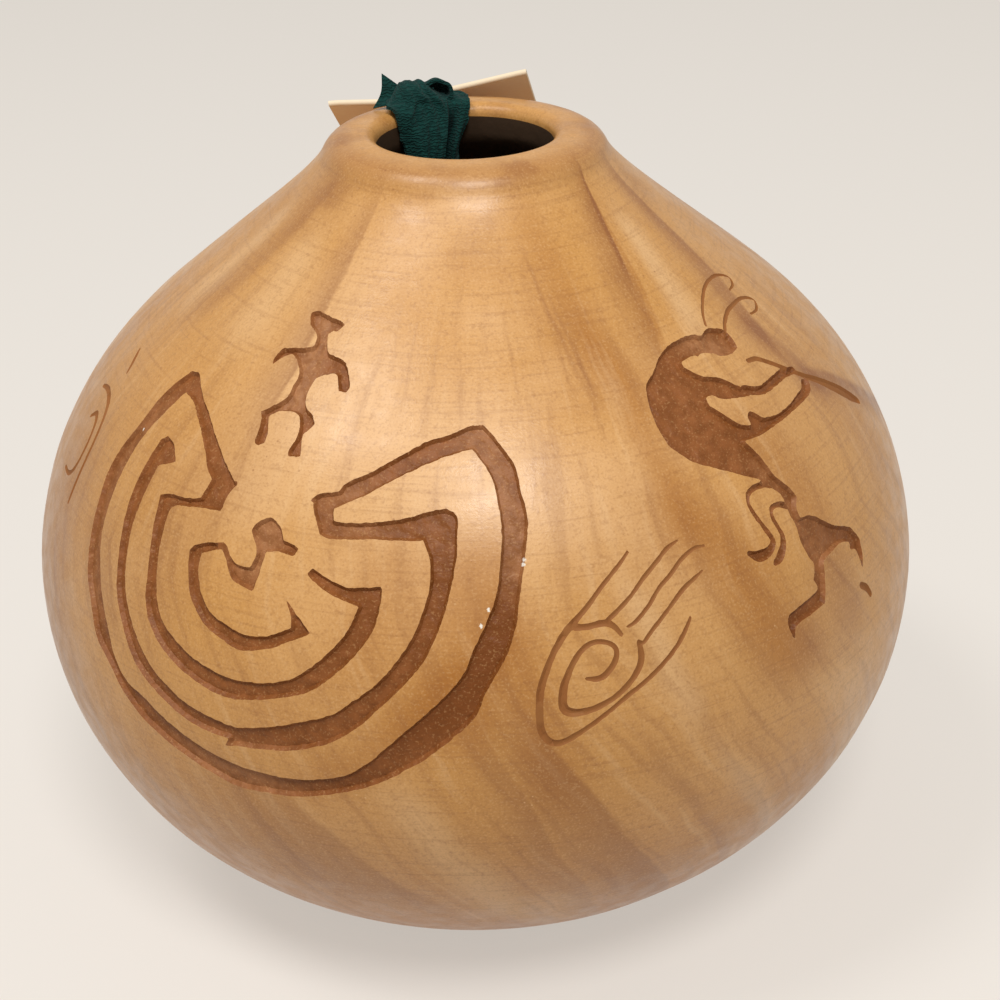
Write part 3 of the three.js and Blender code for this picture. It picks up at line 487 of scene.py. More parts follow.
class Motif:
    """One carved motif and its distance field, negative inside the cut."""

    def __init__(self, fills, lines, scratches):
        self.outlines = [fill_outline(runs) for runs in fills]
        self.lines = [smooth_run(line) for line in lines]
        self.scratches = [smooth_run(line) for line in scratches]
        strokes = [line[:, :2] for line in self.lines + self.scratches]
        self.middles = np.concatenate([np.zeros((0, 2)), *strokes])
        every = np.concatenate([self.middles] + self.outlines)
        self.low = every.min(0) - CUT_MARGIN
        self.high = every.max(0) + CUT_MARGIN

    def grid(self, step):
        return lattice(*(np.arange(low, high, step) for low, high in zip(self.low, self.high)))

    @staticmethod
    def nearest(spots, outlines, lines):
        """Distance from the nearest of some outlines and strokes, up to the margin."""
        away = np.full(len(spots), CUT_MARGIN)
        for outline in outlines:
            np.minimum(away, fill_distance(spots, outline), out=away)
        for line in lines:
            np.minimum(away, to_segments(spots, line[:-1, :2], line[1:, :2], line[:, 2]), out=away)
        return away

    def fields(self, points):
        """Distances from the deep cuts and from the scratches."""
        deep = np.full(len(points), CUT_MARGIN)
        light = deep.copy()
        near = ((points > self.low) & (points < self.high)).all(1)
        spots = points[near]
        if len(spots):
            wander = CUT_RAGGED * layered(RAGGED_TABLE, spots, RAGGED_BUMPS)
            deep[near] = self.nearest(spots, self.outlines, self.lines) + wander
            light[near] = self.nearest(spots, [], self.scratches) + wander / 2
        return deep, light

    def distance(self, points):
        return np.minimum(*self.fields(points))

    def depth(self, points):
        """How deep the floor of the cut lies."""
        deep, light = self.fields(points)
        return np.where(deep < light, CUT_DEPTH, SCRATCH_DEPTH)


def traced(field, low, level):
    """Points and edges where a gridded field crosses a level."""
    inside = field < level
    points, edges, made = [], [], {}

    def crossing(i, j, along):
        key = (i, j, along)
        if key not in made:
            other = field[i + 1, j] if along == 0 else field[i, j + 1]
            share = (level - field[i, j]) / (other - field[i, j])
            share = np.clip(share, CUT_GRID_SHARE, 1 - CUT_GRID_SHARE)
            step = (share, 0) if along == 0 else (0, share)
            made[key] = len(points)
            points.append((low[0] + (i + step[0]) * CUT_GRID, low[1] + (j + step[1]) * CUT_GRID))
        return made[key]

    corners = [inside[:-1, :-1], inside[1:, :-1], inside[1:, 1:], inside[:-1, 1:]]
    count = sum(corner.astype(int) for corner in corners)
    for i, j in np.argwhere((count > 0) & (count < 4)):
        sides = [((i, j, 0), inside[i, j] != inside[i + 1, j]),
                 ((i + 1, j, 1), inside[i + 1, j] != inside[i + 1, j + 1]),
                 ((i, j + 1, 0), inside[i, j + 1] != inside[i + 1, j + 1]),
                 ((i, j, 1), inside[i, j] != inside[i, j + 1])]
        crossed = [crossing(*key) for key, crosses in sides if crosses]
        edges.extend(zip(crossed[::2], crossed[1::2]))
    return points, edges


# Kinds of points and faces on the outside, and the vase's material slots
GROUND, EDGE, CUT, FLOOR_EDGE, SCRATCH = range(5)
CLAY, CARVED, SCRATCHED, INSIDE = range(4)


def carve():
    """The motifs, points on the unrolled patch with their kinds and depths, and the edges to keep."""
    motifs = [Motif(*motif) for motif in MOTIFS]
    points, kinds, depths, edges = [], [], [], []

    def add(spots, kind, depth):
        start = len(points)
        points.extend(map(tuple, spots))
        kinds.extend([kind] * len(spots))
        depths.extend(np.broadcast_to(depth, len(spots)))
        return start

    for motif in motifs:
        grid = motif.grid(CUT_GRID)
        field = motif.distance(grid.reshape(-1, 2)).reshape(grid.shape[:2])
        for level, kind in ((0.0, EDGE), (-CUT_WALL, FLOOR_EDGE)):
            spots, joins = traced(field, motif.low, level)
            depth = 0.0 if kind == EDGE else motif.depth(np.array(spots).reshape(-1, 2))
            start = add(spots, kind, depth)
            edges.extend((start + a, start + b) for a, b in joins)
        floor = motif.grid(CUT_FLOOR_STEP).reshape(-1, 2)
        floor = floor[motif.distance(floor) < -CUT_WALL - CUT_FLOOR_CLEAR]
        add(floor, CUT, motif.depth(floor) + TOOL_MARK * layered(RAGGED_TABLE, floor, TOOL_BUMPS))
        away = motif.distance(motif.middles)
        thin = (away < -THIN_LEAST) & (away > -CUT_WALL - THIN_OVER)
        middles = motif.middles[thin]
        add(middles, CUT, motif.depth(middles) * np.minimum(1, -away[thin] / CUT_WALL))
    return motifs, points, kinds, depths, edges


def vase_rows():
    lip_start = OUTLINE_LENGTH - LIP_BAND
    body = np.linspace(0, lip_start, int(lip_start / ROW_STEP))
    lip = np.linspace(lip_start, OUTLINE_LENGTH, int((OUTLINE_LENGTH - lip_start) / LIP_ROW_STEP))
    return np.concatenate([body, lip[1:]])


def vase_mesh():
    """Faces, points, normals of the ground's corners and unrolled places for the whole outside."""
    rows = vase_rows()
    columns = np.linspace(-math.pi, math.pi, COLUMNS + 1) * BELLY_RADIUS
    first_col, last_col = np.searchsorted(columns, PATCH_ACROSS)
    first_row, last_row = np.searchsorted(rows, PATCH_UP)
    motifs, spots, kinds, depths, edges = carve()
    cut_count = len(spots)
    flat = lattice(columns[:-1], rows).reshape(-1, 2)
    index = np.arange(len(flat)).reshape(COLUMNS, len(rows))
    faces, face_kinds, unrolled = [], [], []
    for i in range(COLUMNS):
        for j in range(len(rows) - 1):
            if first_col <= i < last_col and first_row <= j < last_row:
                continue
            n = (i + 1) % COLUMNS
            faces.append((index[i, j], index[n, j], index[n, j + 1], index[i, j + 1]))
            face_kinds.append(GROUND)
            unrolled.append([(columns[i], rows[j]), (columns[i + 1], rows[j]),
                             (columns[i + 1], rows[j + 1]), (columns[i], rows[j + 1])])

    # Points of the patch: the cuts' points, the plain grid away from them, and the patch's rim
    patch = index[first_col:last_col + 1, first_row:last_row + 1]
    rim = np.concatenate([patch[:, 0], patch[-1, 1:], patch[-2::-1, -1], patch[0, -2:0:-1]])
    inner = patch[1:-1, 1:-1].ravel()
    away = np.min([motif.distance(flat[inner]) for motif in motifs], axis=0)
    known = np.concatenate([rim, inner[away > PATCH_CLEAR]])
    verts = [Vector(p) for p in spots] + [Vector(flat[k]) for k in known]
    edges += [(cut_count + k, cut_count + (k + 1) % len(rim)) for k in range(len(rim))]
    made, _, triangles, origins, _, _ = delaunay_2d_cdt(verts, edges, [], 0, TOLERANCE)

    made = np.array([tuple(v) for v in made])
    made_kind = np.full(len(made), GROUND)
    made_depth = np.zeros(len(made))
    made_index = np.full(len(made), -1)
    for k, sources in enumerate(origins):
        for source in sources:
            if source < cut_count:
                made_kind[k] = kinds[source]
                made_depth[k] = depths[source]
            else:
                made_index[k] = known[source - cut_count]
    fresh = made_index < 0
    made_index[fresh] = len(flat) + np.arange(fresh.sum())

    triangles = np.array(triangles)
    tri_kind = made_kind[triangles]
    middles = made[triangles].mean(1)
    deep, light = np.min([motif.fields(middles) for motif in motifs], axis=0)
    cut = ((tri_kind == CUT) | (tri_kind == FLOOR_EDGE)).any(1)
    unsure = (tri_kind == EDGE).all(1)
    cut[unsure] = np.minimum(deep, light)[unsure] < 0
    for corners, is_cut, is_scratch in zip(triangles, cut, light < deep):
        faces.append(tuple(made_index[corners]))
        face_kinds.append((SCRATCH if is_scratch else CUT) if is_cut else GROUND)
        unrolled.append([tuple(made[c]) for c in corners])

    across, up = np.concatenate([flat, made[fresh]]).T
    depth = np.concatenate([np.zeros(len(flat)), made_depth[fresh]])
    kind = np.concatenate([np.full(len(flat), GROUND), made_kind[fresh]])
    place, normal = on_vase(across, up, depth)
    return faces, face_kinds, unrolled, place, normal, kind, index


def add_inside(faces, slots, unrolled, place, index):
    """Adds the inside, the throat and the foot, which share the outside's first and last rings."""
    outline = inner_outline()
    turns = np.linspace(-math.pi, math.pi, COLUMNS + 1)[:-1]
    left, right = turns * BELLY_RADIUS, (turns + math.tau / COLUMNS) * BELLY_RADIUS
    places, ring = [place], index[:, -1]
    start = len(place)
    length = OUTLINE_LENGTH
    for k in range(1, len(outline)):
        radius, height = outline[k]
        further = length + np.hypot(*(outline[k] - outline[k - 1]))
        if radius < TOLERANCE:
            following = np.full(COLUMNS, start)
            places.append(np.array([(0.0, 0.0, height)]))
            start += 1
        else:
            following = start + np.arange(COLUMNS)
            heights = np.full(COLUMNS, height)
            places.append(np.stack([radius * np.sin(turns), -radius * np.cos(turns), heights], 1))
            start += COLUMNS
        for i in range(COLUMNS):
            n = (i + 1) % COLUMNS
            corners = (ring[i], ring[n], following[n], following[i])
            spots = [(left[i], length), (right[i], length), (right[i], further), (left[i], further)]
            count = 3 if following[n] == following[i] else 4
            faces.append(corners[:count])
            unrolled.append(spots[:count])
            slots.append(CLAY if height > RIM_HEIGHT - THROAT_LENGTH else INSIDE)
        ring = following
        length = further
    places.append(np.zeros((1, 3)))
    for i in range(COLUMNS):
        faces.append((index[(i + 1) % COLUMNS, 0], index[i, 0], start))
        unrolled.append(FOOT_SPOTS)
        slots.append(INSIDE)
    return np.concatenate(places)


def new_mesh(name, points, faces):
    """A smooth mesh from points in millimetres."""
    mesh = bpy.data.meshes.new(name)
    mesh.from_pydata((points * MM).tolist(), [], [tuple(int(k) for k in face) for face in faces])
    mesh.polygons.foreach_set("use_smooth", [True] * len(mesh.polygons))
    return mesh


def new_object(name, data):
    """An object in the scene with a mesh, a lamp or a camera."""
    thing = bpy.data.objects.new(name, data)
    bpy.context.collection.objects.link(thing)
    return thing


def build_vase():
    faces, face_kinds, unrolled, place, normal, kind, index = vase_mesh()
    slots = [{CUT: CARVED, SCRATCH: SCRATCHED}.get(k, CLAY) for k in face_kinds]
    outside = len(faces)
    place = add_inside(faces, slots, unrolled, place, index)
    mesh = new_mesh("vase", place, faces)
    mesh.polygons.foreach_set("material_index", slots)
    places = mesh.uv_layers.new(name="unrolled")
    places.data.foreach_set("uv", np.array([c for spots in unrolled for c in spots]).ravel())
    sharpen(mesh, slots, kind)
    own = np.zeros((len(mesh.loops), 3))
    corner = 0
    for face, slot in zip(faces[:outside], slots):
        if slot == CLAY:
            own[corner:corner + len(face)] = normal[list(face)]
        corner += len(face)
    mesh.normals_split_custom_set(own.tolist())
    mesh.validate()
    return new_object("vase", mesh)


def sharpen(mesh, slots, kind):
    """Sharp edges where the ground meets a cut and where a cut's side meets its floor."""
    sides = {}
    for polygon, slot in zip(mesh.polygons, slots):
        for key in polygon.edge_keys:
            sides.setdefault(key, set()).add(slot)
    sharp = []
    for edge in mesh.edges:
        meets = len(sides[edge.key]) > 1 and INSIDE not in sides[edge.key]
        floor = all(k < len(kind) and kind[k] == FLOOR_EDGE for k in edge.vertices)
        sharp.append(meets or floor)
    mesh.attributes.new("sharp_edge", "BOOLEAN", "EDGE").data.foreach_set("value", sharp)


# Cloth tie and card tag, in millimetres. They keep to the room of their CAD solids.
KNOT_START = math.radians(87)
KNOT_END = math.radians(138)
KNOT_ANGLE = (KNOT_START + KNOT_END) / 2
KNOT_MIDDLE = RIM_HEIGHT + 2.2
CLOTH = 0.7
DROP_LENGTH = 46.0
DROP_CENTRE_TOP = math.radians(115.5)
DROP_CENTRE_LOW = math.radians(117)
DROP_SPAN_TOP = math.radians(57)
DROP_SPAN_LOW = math.radians(43)
DROP_ROOM = 1.6
DROP_VALLEY = 0.66  # where the deep valley lies between the two folds, as a share of the width
DROP_FOLD_LEFT = 3.3
DROP_FOLD_RIGHT = 1.8
# Height of the strip's top over the lip, by the share of its width
DRAPE_TOP = ((0, 0.1, 0.17, 0.22, 0.46, 0.54, 0.62, 0.8, 1),
             (164.4, 165.0, 166.0, 167.2, 167.1, 166.2, 164.6, 164.2, 163.8))
DRAPE_ACROSS = 130  # points across it and along it
DRAPE_ALONG = 190
DRAPE_SPACING = 0.4
DRAPE_BEHIND = 4.0  # how far it reaches behind the lip's crest
DRAPE_NARROW = 0.4  # how much narrower it is there
DRAPE_DRIFT = 0.34  # how far the valley leans to the right on its way up
# Crinkles, small pleats, grain and ragged edges: their heights, and their counts across and along the strip
CRINKLE = 0.3
CRINKLES = (9, 16)
PLEAT = 0.16
PLEATS = (6.3, 15)
PLEAT_SWAY = 0.3
GRAIN = 0.1
GRAINS = (34, 60)
RAGGED_EDGE = 0.02
RAGGED_EDGES = (3, 40)
# Heights over the rim between which the strip spreads, and its valley leans, stops leaning and takes its
# painted shade
SPREAD_HEIGHTS = (-10, -1)
LEAN_HEIGHTS = (-16, -1)
LEAN_END_HEIGHTS = (3.2, 0.8)
VALLEY_HEIGHTS = (0.5, -3)
VALLEY_SIDES = ((0.61, 0.655), (0.8, 0.7))  # shares of the width between which it takes its painted shade
LAP = 0.55  # how far the upper stretch stands proud where it laps over the lower one
LAP_ALONG = (0.8, 0.82)
LAP_SIDES = ((0.03, 0.1), (0.62, 0.52))
LIP_CLEAR = 0.3
END_TIP = np.array((-17.2, 18.6, RIM_HEIGHT + 6.6))
END_LOW = np.array((-19.2, 15.8, RIM_HEIGHT + 0.1))
END_ROOT_TOP = np.array((-13.6, 17.6, RIM_HEIGHT + 4.2))
END_ROOT_LOW = np.array((-15.0, 15.2, RIM_HEIGHT + 1.0))
END_INNER = np.array((2.6, 0.6, 0.0))  # from its root to where it goes on under the bunched cloth
END_NOTCH = 0.8  # how far the short end's edge is hollowed between its points
END_RIPPLE = 0.4
END_SPACING = 0.2
CURL_MIDDLE = np.array((-6.3, 19.4, 165.4))
CURL_WAY = np.array((0.22, -0.95, 0.12))
CURL_HALF = np.array((3.0, 2.3))  # half its width and its height
CURL_LENGTH = 5.4
CURL_TILT = math.radians(-24)
CURL_ARC = (-35, 215)  # degrees
CURL_TAPER = 0.85  # how much smaller it is at its back
CURL_CREASE = 0.06

TAG_WIDTH = 43.6
TAG_HALF = TAG_WIDTH / 2
TAG_LENGTH = 52.0
CARD = 0.5
CARD_GAP = 0.3
TAG_MIDDLE = np.array((-8.4, NECK[0] + 2.6, RIM_HEIGHT))
TAG_YAW = math.radians(-4)
TAG_RISE = math.radians(8.9)
TAG_LEAN = math.radians(41.81)
TAG_BEND = 2.3
TAG_BEND_AT = -6.3
TAG_BEND_ROUND = 4.0
HOLE = (1.4, 3.22)
HOLE_RADIUS = 2.62
HOLE_CLEAR = 0.5  # of the card's inner points from the hole's edge
LOOP_RADIUS = 1.92
LOOP_WIDTH = 3.6
LOOP_MIDDLE = LOOP_RADIUS + 0.5
LOOP_PLEATS = 2.5
LOOP_CRINKLE = 0.12
STRAP_CRINKLE = 0.25
SHARP_ANGLE = math.radians(50)


def ease(value, low, high):
    share = np.clip((value - low) / (high - low), 0, 1)  # falls where low is above high
    return share * share * (3 - 2 * share)


def round_axis(angle, radius, height):
    return np.stack([radius * np.cos(angle), radius * np.sin(angle), height + 0 * angle], -1)


def lip_top(radius):
    """Height of the lip's surface at a radius."""
    inside = RIM_HEIGHT - LIP_ROUND + np.sqrt(np.maximum(0, LIP_ROUND ** 2 - (CREST[0] - radius) ** 2))
    neck_and_lip = OUTLINE[:-200:-1]
    outside = np.interp(radius, neck_and_lip[:, 0], neck_and_lip[:, 1])
    return np.where(radius < CREST[0], np.where(radius > MOUTH_RADIUS, inside, 0), outside)


def closed_sheet(layer):
    """Points and faces of a cloth sheet. The layer gives a grid of points at an offset from its middle."""
    front, back = layer(CLOTH / 2), layer(-CLOTH / 2)
    rows, columns = front.shape[:2]
    points = np.concatenate([front.reshape(-1, 3), back.reshape(-1, 3)])
    at = np.arange(2 * rows * columns).reshape(2, rows, columns)
    faces = []

    def strip(a, b):
        faces.extend(zip(a[:-1], a[1:], b[1:], b[:-1]))

    for i in range(rows - 1):
        strip(at[0, i], at[0, i + 1])
        strip(at[1, i + 1], at[1, i])
    strip(at[1, 0], at[0, 0])
    strip(at[0, -1], at[1, -1])
    strip(at[0, :, 0], at[1, :, 0])
    strip(at[1, :, -1], at[0, :, -1])
    return points, faces


def tube(rings):
    """Points and faces through rings of points, with capped ends. Each ring closes on itself."""
    count, sides = rings.shape[:2]
    at = np.arange(count * sides).reshape(count, sides)
    faces = []
    for i in range(count - 1):
        for j in range(sides):
            n = (j + 1) % sides
            faces.append((at[i, j], at[i, n], at[i + 1, n], at[i + 1, j]))
    faces += [tuple(at[0, ::-1]), tuple(at[-1])]
    return rings.reshape(-1, 3), faces


def several(*shapes):
    points, faces, start = [], [], 0
    for shape_points, shape_faces in shapes:
        points.append(shape_points)
        faces += [tuple(k + start for k in face) for face in shape_faces]
        start += len(shape_points)
    return np.concatenate(points), faces


def add_piece(name, shape, material, body, slot, *nodes):
    mesh = new_mesh(name, *shape)
    tidy = bmesh.new()
    tidy.from_mesh(mesh)
    bmesh.ops.recalc_face_normals(tidy, faces=tidy.faces)
    tidy.to_mesh(mesh)
    tidy.free()
    mesh.set_sharp_from_angle(angle=SHARP_ANGLE)
    mesh.materials.append(material)
    piece = new_object(name, mesh)
    if nodes:
        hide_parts(*nodes)
    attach(piece, body)
    return piece


def drape_lines():
    """The draped strip's middle lines: from inside the mouth, up over the lip and down behind it."""
    behind = CREST[0] + DRAPE_BEHIND
    ground = lip_top(behind)
    lines = []
    for across in np.linspace(0, 1, DRAPE_ACROSS):
        if across < DROP_VALLEY:
            share = across / DROP_VALLEY
            fold = DROP_FOLD_LEFT * ease(share, 0, 0.22) * ease(share, 1, 0.94)
        else:
            share = (across - DROP_VALLEY) / (1 - DROP_VALLEY)
            fold = DROP_FOLD_RIGHT * ease(share, 0.22, 0.55) * ease(share, 1, 0.7)
        top = np.interp(across, *DRAPE_TOP)
        hung = MOUTH_RADIUS - DROP_ROOM - fold
        # Radius and height of the stations: three below the mouth, two on the lip's inner side, two over
        # its crest and two behind it
        line = smooth_run([(hung + 0.6, RIM_HEIGHT - DROP_LENGTH),
                           (hung, RIM_HEIGHT - 24),
                           (hung, RIM_HEIGHT - 8),
                           (MOUTH_RADIUS - 1.0 - 0.5 * fold, RIM_HEIGHT - 1.2),
                           (MOUTH_RADIUS - 0.2 - 0.25 * fold, (RIM_HEIGHT + top) / 2),
                           (CREST[0] - 1.6, top - 0.3),
                           (CREST[0] + 0.8, top),
                           (behind - 1.0, 0.5 * (top + ground) + 0.6),
                           (behind, ground + 0.6)], spacing=DRAPE_SPACING)
        at = measured(line)
        even = np.linspace(0, at[-1], DRAPE_ALONG)
        lines.append(np.stack([np.interp(even, at, line[:, k]) for k in (0, 1)], 1))
    return np.array(lines)


def drape_shape():
    """The strip over the lip: a broad fold, a deep valley, a narrow fold and small crinkles.

    Gives the sheet, and for each of its points how much painted shade darkens the cloth's colour in the
    valley.
    """
    lines = drape_lines()
    radius, height = lines[..., 0], lines[..., 1]
    across = np.linspace(0, 1, DRAPE_ACROSS)[:, None] + 0 * radius
    along = np.linspace(0, 1, DRAPE_ALONG)[None] + 0 * radius
    over_rim = height - RIM_HEIGHT
    crinkle = CRINKLE * noise(CLOTH_TABLE, across * CRINKLES[0], along * CRINKLES[1])
    crinkle += PLEAT * np.sin(math.tau * (PLEATS[0] * across + PLEAT_SWAY * np.sin(along * PLEATS[1])))
    crinkle += GRAIN * noise(CLOTH_TABLE, across * GRAINS[0] + 7, along * GRAINS[1])
    edge = ease(abs(across - 0.5), 0.42, 0.5)
    edge = edge * noise(CLOTH_TABLE, along * RAGGED_EDGES[1], across * RAGGED_EDGES[0])
    high = ease(over_rim, *SPREAD_HEIGHTS)
    span = DROP_SPAN_LOW + (DROP_SPAN_TOP - DROP_SPAN_LOW) * high
    centre = DROP_CENTRE_LOW + (DROP_CENTRE_TOP - DROP_CENTRE_LOW) * high
    leaning = ease(over_rim, *LEAN_HEIGHTS) * ease(over_rim, *LEAN_END_HEIGHTS)
    drift = DRAPE_DRIFT * leaning * across * (1 - across)
    angle = centre + span * (0.5 - across - drift + RAGGED_EDGE * edge)
    narrow = DRAPE_NARROW * ease(radius, CREST[0] - 1, CREST[0] + DRAPE_BEHIND)
    angle = angle + narrow * (KNOT_ANGLE - angle)
    way_r, way_z = np.gradient(radius, axis=1), np.gradient(height, axis=1)
    length = np.hypot(way_r, way_z)
    out_r, out_z = -way_z / length, way_r / length
    # The upper stretch laps over the lower one with a soft edge
    lap = LAP * ease(along, *LAP_ALONG) * ease(across, *LAP_SIDES[0]) * ease(across, *LAP_SIDES[1])

    def layer(offset):
        r = radius + out_r * (crinkle + lap + offset)
        z = height + out_z * (crinkle + lap + offset)
        over = (r > MOUTH_RADIUS - 0.4) & (z > RIM_HEIGHT - 5)
        z = np.where(over, np.maximum(z, lip_top(np.maximum(r, MOUTH_RADIUS + 0.01)) + LIP_CLEAR), z)
        return round_axis(angle, r, z)

    # Painted shade: a darker cloth colour in the valley's fold, where shade falls
    valley = ease(across, *VALLEY_SIDES[0]) * ease(across, *VALLEY_SIDES[1])
    valley = valley * ease(over_rim, *VALLEY_HEIGHTS)
    return closed_sheet(layer), np.tile(valley.ravel(), 2)


def curl_shape():
    """A fold that stands up on the bunched cloth like a small arch, open towards the front."""
    way = CURL_WAY / np.linalg.norm(CURL_WAY)
    side = np.cross(way, (0.0, 0.0, 1.0))
    side /= -np.linalg.norm(side)
    rise = np.cross(way, side)
    rise *= np.sign(rise[2])
    along, turn = np.meshgrid(np.linspace(-0.5, 0.5, 26), np.radians(np.linspace(*CURL_ARC, 60)),
                              indexing="ij")
    crease = 1 + CURL_CREASE * noise(CLOTH_TABLE, along * 7 + 5, turn * 2 + 30)
    crease = crease - CURL_TAPER * ease(along, 0.15, -0.5)

    def layer(offset):
        wide = (CURL_HALF[0] + offset) * np.cos(turn + CURL_TILT)
        high = (CURL_HALF[1] + offset) * np.sin(turn + CURL_TILT)
        spine = CURL_MIDDLE + CURL_LENGTH * along[..., None] * way
        return spine + (wide * crease)[..., None] * side + (high * crease)[..., None] * rise

    return closed_sheet(layer)


def spread(points, shares):
    """Points at shares of the way along a row of points."""
    at = np.linspace(0, 1, len(points))
    return np.stack([np.interp(shares, at, points[:, k]) for k in range(points.shape[1])], 1)


def end_shape():
    """The short end: a flap with two points and a hollow edge between them."""
    middle = (END_TIP + END_LOW) / 2
    inward = (END_ROOT_TOP + END_ROOT_LOW) / 2 - middle
    notch = middle + inward / np.linalg.norm(inward) * END_NOTCH
    outer = smooth_run([END_TIP, notch, END_LOW], spacing=END_SPACING)
    root = np.array([END_ROOT_TOP, END_ROOT_LOW])
    down = np.linspace(0, 1, 26)
    inwards = np.linspace(0, 1, 24)
    lines = [spread(line, down) for line in (outer, root, root + END_INNER)]
    grid = np.stack([spread(np.array(row), inwards) for row in zip(*lines)])
    facing = np.cross(END_LOW - END_TIP, END_ROOT_TOP - END_TIP)
    facing /= np.linalg.norm(facing)
    across, along = np.meshgrid(inwards, down)
    ripple = END_RIPPLE * np.sin(math.tau * (along * 0.9 + 0.1 + 0.4 * across)) * (1 - across)
    return closed_sheet(lambda offset: grid + facing * ripple[..., None] + facing * offset)


# The tag's own frame: x along its fold, y down the card, z away from the vase
TAG_TURN = np.array(Matrix.Rotation(TAG_YAW, 3, "Z") @ Matrix.Rotation(-TAG_RISE, 3, "Y")
                    @ Matrix.Rotation(-TAG_LEAN, 3, "X"))


def from_tag(points):
    return TAG_MIDDLE + points @ TAG_TURN.T


def bend(x):
    """How far the card is pressed in below its straight fold."""
    def share(at):
        left = (at + TAG_HALF) / (TAG_BEND_AT + TAG_HALF)
        right = (TAG_HALF - at) / (TAG_HALF - TAG_BEND_AT)
        return np.clip(np.minimum(left, right), 0, 1)

    near = TAG_BEND_ROUND / 2
    return TAG_BEND * (share(x - near) + share(x + near)) / 2


def leaf_shape(side):
    """A bent leaf with its punched hole, on one side of the fold's middle."""
    turn = np.linspace(0, math.tau, 41)[:-1]
    ring = HOLE + HOLE_RADIUS * np.stack([np.cos(turn), np.sin(turn)], 1)
    down = np.linspace(CARD_GAP, TAG_LENGTH, 36)
    grid = lattice(np.linspace(-TAG_HALF, TAG_HALF, 30), down).reshape(-1, 2)
    clear = np.hypot(*(grid - HOLE).T) > HOLE_RADIUS + HOLE_CLEAR
    spots = [Vector(s) for s in np.concatenate([ring, grid[clear]])]
    edges = [(k, (k + 1) % len(ring)) for k in range(len(ring))]
    flat, _, faces, _, _, _ = delaunay_2d_cdt(spots, edges, [], 0, TOLERANCE)
    flat = np.array([tuple(v) for v in flat])
    faces = np.array(faces)
    faces = faces[np.hypot(*(flat[faces].mean(1) - HOLE).T) > HOLE_RADIUS * 0.99]
    middle = side * (CARD_GAP / 2 + CARD / 2) - bend(flat[:, 0])
    layers = [np.column_stack([flat, middle + offset]) for offset in (CARD / 2, -CARD / 2)]
    count = len(flat)
    made = [tuple(face) for face in faces] + [tuple(face[::-1] + count) for face in faces]
    borders = {(face[k - 1], face[k]): True for face in faces for k in (1, 2, 0)}
    made += [(a, a + count, b + count, b) for a, b in borders if (b, a) not in borders]
    return from_tag(np.concatenate(layers)), made


def fold_shape():
    """The rounded fold along the card's upper edge."""
    across, turn = np.meshgrid(np.linspace(-TAG_HALF, TAG_HALF, 60), np.linspace(0, math.tau, 21)[:-1],
                               indexing="ij")
    radius = CARD + CARD_GAP / 2
    local = np.stack([across, radius * np.cos(turn), radius * np.sin(turn) - bend(across)], -1)
    return tube(from_tag(local))


def loop_shape():
    """The stretch that goes from the knot round the tag's fold and through its holes."""
    axis = np.array((HOLE[0], 0.0, -bend(np.array(HOLE[0]))))
    sides = np.linspace(-0.5, 0.5, 12)
    turn, ring_side = np.meshgrid(np.linspace(0, math.tau, 65), sides, indexing="ij")
    crinkle = np.sin(math.tau * ring_side * LOOP_PLEATS + 2 * np.sin(turn)) * (1 - abs(2 * ring_side))

    def ring(offset):
        radius = LOOP_MIDDLE + LOOP_CRINKLE * crinkle + offset
        return from_tag(axis + np.stack([LOOP_WIDTH * ring_side, radius * np.cos(turn),
                                         radius * np.sin(turn)], -1))

    seat = (round_axis(np.array(KNOT_ANGLE), CREST[0], KNOT_MIDDLE) - TAG_MIDDLE) @ TAG_TURN
    way = seat - axis
    start = axis + way * LOOP_MIDDLE / np.hypot(*way[1:])
    along, strap_side = np.meshgrid(np.linspace(0, 1, 30), sides, indexing="ij")
    thick = np.array((0.0, -way[2], way[1])) / np.hypot(*way[1:])
    gather = STRAP_CRINKLE * np.sin(math.tau * strap_side * LOOP_PLEATS + 3 * along)
    across = np.array((LOOP_WIDTH, 0, 0))

    def strap(offset):
        middle = start + (seat - start) * along[..., None] + across * strap_side[..., None]
        return from_tag(middle + thick * (gather + offset)[..., None])

    return several(closed_sheet(ring), closed_sheet(strap))


def paint(red, green, blue):
    """A picture's colour, from 0 to 255, as a shader's colour."""
    shares = [value / 255 for value in (red, green, blue)]
    return (*[s / 12.92 if s <= 0.04045 else ((s + 0.055) / 1.055) ** 2.4 for s in shares], 1)


